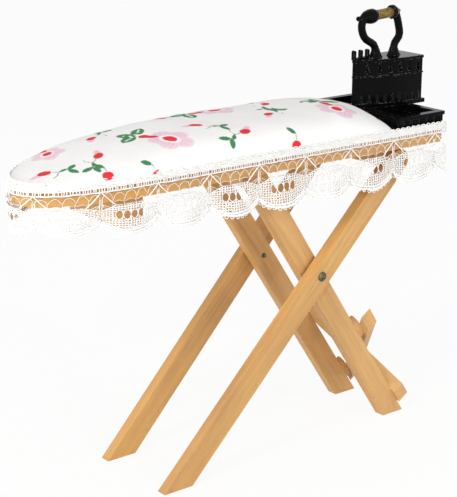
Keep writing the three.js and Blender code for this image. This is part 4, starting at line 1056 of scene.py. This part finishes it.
def scallop(share):
    """Depth of the edge at a share of one repeat."""
    round_part = math.sqrt(max(1 - (2 * share - 1) ** 2, 0.0))
    return NOTCH_DEPTH + (SCALLOP_DEPTH - NOTCH_DEPTH) * round_part


def net_top(share):
    """Depth where the close net begins: level, and lower below each point of the V."""
    near = min(share, 1 - share)
    return GROUND_DEPTH + max(0.0, V_REACH_SHARE - near) / V_REACH_SHARE * NET_DIP


def in_hole(share, depth):
    for centre, middle in OVALS:
        across, down = (share - centre) * PITCH / OVAL_HALF_WIDTH, (depth - middle) / OVAL_HALF_HEIGHT
        if across * across + down * down < 1.0:
            return True
    return False


OUTSIDE = (0.5, 0.0)


def clipped(threads, points, start, radius):
    """Adds the stretches of a line that lie in the close net and outside its holes."""
    run = []
    for share, depth in points + [OUTSIDE]:
        if net_top(share) <= depth <= scallop(share) - 0.1 and not in_hole(share, depth):
            run.append((start + share * PITCH, depth))
        else:
            if len(run) > 1:
                threads.add(run, radius)
            run = []


def ring(centre, middle, wide, high, steps=10):
    turns = [2 * math.pi * k / steps for k in range(steps + 1)]
    return [(centre + wide * math.cos(t), middle + high * math.sin(t)) for t in turns]


def arch(low, high, foot, height, power=1.0):
    """Rounded arch between two running lengths, its top at a height over its foot."""
    shares = np.linspace(0, 1, 7)
    return [(low + (high - low) * t, foot - height * math.sin(math.pi * t) ** power) for t in shares]


NET_COLUMNS = 20
NET_COLUMN_STEP = 0.36
NET_COLUMN_STEPS = 32
NET_COLUMN_WANDER = 0.004
NET_ROWS = 13
NET_ROW_PITCH = 0.58
NET_ROW_STEPS = 40
NET_SAG = 0.35
UNEVEN = (0.8, 1.2)


def close_net(threads, start):
    """Upright and level threads of the scallop, with a ring of thread round each oval hole."""
    for i in range(1, NET_COLUMNS):
        share = i / NET_COLUMNS
        points = [
            (share + random.gauss(0, NET_COLUMN_WANDER), net_top(share) + k * NET_COLUMN_STEP)
            for k in range(NET_COLUMN_STEPS)
        ]
        points = [point for point in points if point[1] < scallop(share)]
        clipped(threads, points, start, NET_RADIUS * random.uniform(*UNEVEN))
    shares = [i / NET_ROW_STEPS for i in range(NET_ROW_STEPS + 1)]
    for k in range(NET_ROWS):
        depth = GROUND_DEPTH + NET_ROW_PITCH * k
        sag = k / (NET_ROWS - 1)
        points = [(share, depth + NET_SAG * (scallop(share) - SCALLOP_DEPTH) * sag) for share in shares]
        clipped(threads, points, start, NET_RADIUS * random.uniform(*UNEVEN))
    for centre, middle in OVALS:
        shape = ring(0, middle, OVAL_HALF_WIDTH, OVAL_HALF_HEIGHT)
        threads.add([(start + centre * PITCH + x, y) for x, y in shape], THIN_RADIUS)


GROUND_CELLS = 5
CELL_WANDER = 0.18
ARCH_SPREAD = (-0.15, 0.2)
ARCH_POWER = 0.6
LEG_SLANT = 0.35
LEG_FOOT_SHIFT = 0.1


def open_ground(threads, start):
    """A row of arches over the wood, short legs down to the close net, and flat peaks between them."""
    drift = [random.uniform(-CELL_WANDER, CELL_WANDER) for _ in range(GROUND_CELLS + 1)]
    for k in range(GROUND_CELLS):
        low = start + k / GROUND_CELLS * PITCH + drift[k]
        high = start + (k + 1) / GROUND_CELLS * PITCH + drift[k + 1]
        height = ARCH_FOOT_DEPTH - (ARCH_TOP_DEPTH + random.uniform(*ARCH_SPREAD))
        threads.add(arch(low, high, ARCH_FOOT_DEPTH, height, ARCH_POWER), GROUND_RADIUS, 0.07)
        slant = random.uniform(-LEG_SLANT, LEG_SLANT)
        bend = (low + slant, ROW_FOOT_DEPTH)
        if 0 < k < GROUND_CELLS:
            leg = [(low, ARCH_FOOT_DEPTH), bend, (low + LEG_FOOT_SHIFT, GROUND_DEPTH)]
            threads.add(leg, GROUND_RADIUS, 0.06)
        if 0 < k < GROUND_CELLS - 1:
            peak = [bend, ((low + high) / 2, ROW_PEAK_DEPTH), (high, ROW_FOOT_DEPTH)]
            threads.add(peak, GROUND_RADIUS * 0.9, 0.08)


V_FOOT_SHARES = ((0.0, 0.25), (1.0, 0.75))
V_PROUD = 0.12
FAN_TOP_DEPTH = 5.5
FAN_ENDS = ((0.17, 6.6), (0.10, 7.1))
STEM_OFFSET = 0.26
STEM_DEPTHS = (4.2, 5.6, 7.2, NOTCH_DEPTH - 0.2)


def vee_leg(threads, top, foot, steps):
    """One leg of the strong V, from the tape down to the close net."""
    shares = np.linspace(0, 1, steps)
    line = [(top + (foot - top) * t, TAPE_DEPTH + (GROUND_DEPTH - TAPE_DEPTH) * t, V_PROUD) for t in shares]
    threads.add(line, CORD_RADIUS)


def strong_vee(threads, start):
    """Level line on top of the close net, the strong V, the fan below its point and the two stems."""
    level = [(start + share * PITCH, net_top(share)) for share in np.linspace(0.0, 1.0, 25)]
    threads.add(level, LEVEL_RADIUS)
    for side, corner in V_FOOT_SHARES:
        top = start + side * PITCH
        vee_leg(threads, top, start + corner * PITCH, 5)
        for reach, depth in FAN_ENDS:
            share = reach if side == 0.0 else 1.0 - reach
            threads.add([(top, FAN_TOP_DEPTH), (start + share * PITCH, depth)], GROUND_RADIUS)
    for offset in (-STEM_OFFSET, STEM_OFFSET):
        shifts = (offset, offset * 0.8, offset, offset)
        threads.add([(start + shift, depth) for shift, depth in zip(shifts, STEM_DEPTHS)], THIN_RADIUS)


EDGE_STEPS = 33
EDGE_INSET = 0.1
INNER_EDGE_INSET = 0.75
INNER_EDGE_PROUD = 0.06
LOOPS = 11
LOOP_SIZES = (0.32, 0.48)
LOOP_OUT = 0.2
FINE_STEPS = 200


def scalloped_edge(threads, start):
    """Two cords along the edge and a row of small loops."""
    shares = np.linspace(0.0, 1.0, EDGE_STEPS)
    cord = [(start + share * PITCH, scallop(share) - EDGE_INSET, 0.0) for share in shares]
    threads.add(cord, EDGE_RADIUS, 0.1)
    inner = [
        (start + share * PITCH, scallop(share) - INNER_EDGE_INSET, INNER_EDGE_PROUD)
        for share in shares[1:-1]
    ]
    threads.add(inner, INNER_EDGE_RADIUS, 0.08)
    places = np.array([[share * PITCH, scallop(share)] for share in np.linspace(0.02, 0.98, FINE_STEPS)])
    travelled = running(places)
    for k in range(LOOPS):
        at = int(np.interp((k + 0.5) / LOOPS * travelled[-1], travelled, np.arange(FINE_STEPS)))
        ahead = places[min(at + 3, FINE_STEPS - 1)] - places[max(at - 3, 0)]
        ahead /= np.linalg.norm(ahead)
        centre = places[at] + np.array([-ahead[1], ahead[0]]) * LOOP_OUT
        size = random.uniform(*LOOP_SIZES)
        threads.add([(start + a, b) for a, b in ring(centre[0], centre[1], size, size, 6)], THIN_RADIUS)


TAPE_CORDS = 6
TAPE_FIRST_DEPTH = 0.45
TAPE_CORD_PITCH = 0.27
TAPE_CORD_RADIUS = 0.17
TAPE_EDGE_RADIUS = 0.18
TAPE_STEP = 0.8
TAPE_WAVE = 0.04
CROSS_STEP = 0.62
CROSS_RADIUS = 0.14
CROSS_LEAN = 0.12
BOW_LENGTH = 1.7
BOW_HEIGHT = 0.4
BOW_RADIUS = 0.15


def lace_tape(threads, begin, end):
    """The narrow band along the top, sewn over the cover's edge, with a row of small bows above."""
    runs = np.arange(begin, end, TAPE_STEP)
    cords = [(TAPE_FIRST_DEPTH + TAPE_CORD_PITCH * k, TAPE_CORD_RADIUS) for k in range(TAPE_CORDS)]
    for depth, radius in cords + [(TAPE_DEPTH, TAPE_EDGE_RADIUS)]:
        line = [(run, depth, TAPE_WAVE * math.sin(run * 2.1 + depth)) for run in runs]
        threads.add(line + [(end, depth, 0.0)], radius)
    for run in np.arange(begin + 0.2, end, CROSS_STEP):
        lean_by = random.gauss(0, CROSS_LEAN)
        line = [(run, 0.5), (run + lean_by / 2, 1.6), (run + lean_by, TAPE_DEPTH + 0.1)]
        threads.add(line, CROSS_RADIUS, 0.05)
    for run in np.arange(begin + 0.1, end - BOW_LENGTH, BOW_LENGTH):
        threads.add(arch(run, run + BOW_LENGTH, TAPE_FIRST_DEPTH, BOW_HEIGHT), BOW_RADIUS, 0.05)


TAIL_COLUMN_PITCH = 0.7
TAIL_ROW_PITCH = 0.5
TAIL_ROWS = 10
TAIL_ARCH_DEPTH = 4.4
TAIL_LEVEL_RADIUS = 0.11


def lace_tail(threads, begin, end, notch_at_end):
    """The cut-off remainder of a repeat at each square corner."""
    origin = end - PITCH if notch_at_end else begin

    def edge(run):
        return scallop((run - origin) / PITCH)

    def top(run):
        return net_top((run - origin) / PITCH)

    for run in np.arange(begin + TAIL_COLUMN_PITCH / 2, end, TAIL_COLUMN_PITCH):
        depths = (top(run), (top(run) + edge(run)) / 2, edge(run) - 0.2)
        threads.add([(run, depth) for depth in depths], NET_RADIUS)
    runs = np.linspace(begin, end, 9)
    for k in range(TAIL_ROWS):
        depth = GROUND_DEPTH + TAIL_ROW_PITCH * k
        line = [(run, depth) for run in runs if top(run) <= depth <= edge(run)]
        if len(line) > 1:
            threads.add(line, NET_RADIUS)
    threads.add([(run, edge(run) - 0.15) for run in runs], EDGE_RADIUS, 0.05)
    threads.add([(run, top(run)) for run in runs], TAIL_LEVEL_RADIUS)
    rate = math.pi * GROUND_CELLS / PITCH
    runs = np.linspace(begin, end, 17)
    arches = [(run, TAIL_ARCH_DEPTH - abs(math.sin(rate * (run - origin)))) for run in runs]
    threads.add(arches, GROUND_RADIUS)
    reach = V_REACH_SHARE * PITCH
    apex, foot = (end, end - reach) if notch_at_end else (begin, begin + reach)
    vee_leg(threads, apex, foot, 4)


def make_lace():
    last = OUTLINE.total / MM - LACE_END_GAP
    threads = Threads()
    lace_tape(threads, LACE_END_GAP, last)
    for k in range(LACE_REPEATS):
        for part in (close_net, open_ground, strong_vee, scalloped_edge):
            part(threads, LACE_END_RUN + k * PITCH)
    lace_tail(threads, LACE_END_GAP, LACE_END_RUN, True)
    lace_tail(threads, OUTLINE.total / MM - LACE_END_RUN, last, False)
    return new_object("lace_threads", threads.vertices, threads.faces, lace_material())


lace = make_lace()
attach(lace, "board")
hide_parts("lace_trim")


# Plain pale floor and surroundings, white to the camera and in reflections, and soft studio lamps

FLOOR_COLOUR = (0.93, 0.93, 0.92)
FLOOR_HALF = 3.0
FLOOR_GAP = 0.02 * MM
FLOOR_WHITENESS = 0.9
WORLD_STRENGTH = 0.60
MIDDLE = (0.0, 0.0, 0.05)
LAMPS = (  # name, place, size, power in watts
    ("key", (-0.60, -0.20, 0.55), 0.12, 1.6),
    ("fill", (-0.10, -0.85, 0.20), 0.8, 2.1),
    ("left", (-0.80, -0.10, 0.03), 0.5, 4.6),
    ("glint_left", (-0.50, -0.50, 0.45), 0.02, 0.7),
    ("glint_right", (0.30, -0.60, 0.50), 0.02, 0.7),
)


def seen_rays(tree):
    """One for camera, glossy and transmission rays, and nothing for the light on the object."""
    path = node(tree, "ShaderNodeLightPath")
    seen = maths(tree, "MAXIMUM", path.outputs["Is Camera Ray"], path.outputs["Is Glossy Ray"])
    return maths(tree, "MAXIMUM", seen, path.outputs["Is Transmission Ray"])


def blended(tree, factor, first, second, target):
    made = node(tree, "ShaderNodeMixShader", {0: factor, 1: first.outputs[0], 2: second.outputs[0]})
    tree.links.new(made.outputs[0], target.inputs["Surface"])


def make_stage():
    material, tree = new_material("pale_floor")
    finished(material, {"Base Color": FLOOR_COLOUR, "Roughness": 0.9, "Specular IOR Level": 0.1})
    white = node(tree, "ShaderNodeEmission", {"Color": WHITE, "Strength": 1.0})
    factor = maths(tree, "MULTIPLY", seen_rays(tree), FLOOR_WHITENESS)
    blended(tree, factor, tree.nodes["Principled BSDF"], white, tree.nodes["Material Output"])
    corners = ((-1, -1), (1, -1), (1, 1), (-1, 1))
    corners = [(x * FLOOR_HALF, y * FLOOR_HALF, -FLOOR_GAP) for x, y in corners]
    new_object("floor", corners, [(0, 1, 2, 3)], material, False)


def make_world():
    world = bpy.data.worlds.new("studio")
    SCENE.world = world
    world.use_nodes = True
    tree = world.node_tree
    tree.nodes.clear()
    output = node(tree, "ShaderNodeOutputWorld")
    light = node(tree, "ShaderNodeBackground", {"Color": WHITE, "Strength": WORLD_STRENGTH})
    white = node(tree, "ShaderNodeBackground", {"Color": WHITE, "Strength": 1.0})
    blended(tree, seen_rays(tree), light, white, output)


def area_light(name, place, size, power):
    data = bpy.data.lights.new(name, "AREA")
    data.shape = "SQUARE"
    data.size = size
    data.energy = power
    light = bpy.data.objects.new(name, data)
    light.location = place
    light.rotation_mode = "QUATERNION"
    light.rotation_quaternion = (Vector(MIDDLE) - Vector(place)).to_track_quat("-Z", "Y")
    SCENE.collection.objects.link(light)


make_stage()
make_world()
for lamp in LAMPS:
    area_light(*lamp)

SCENE.view_settings.view_transform = "Standard"
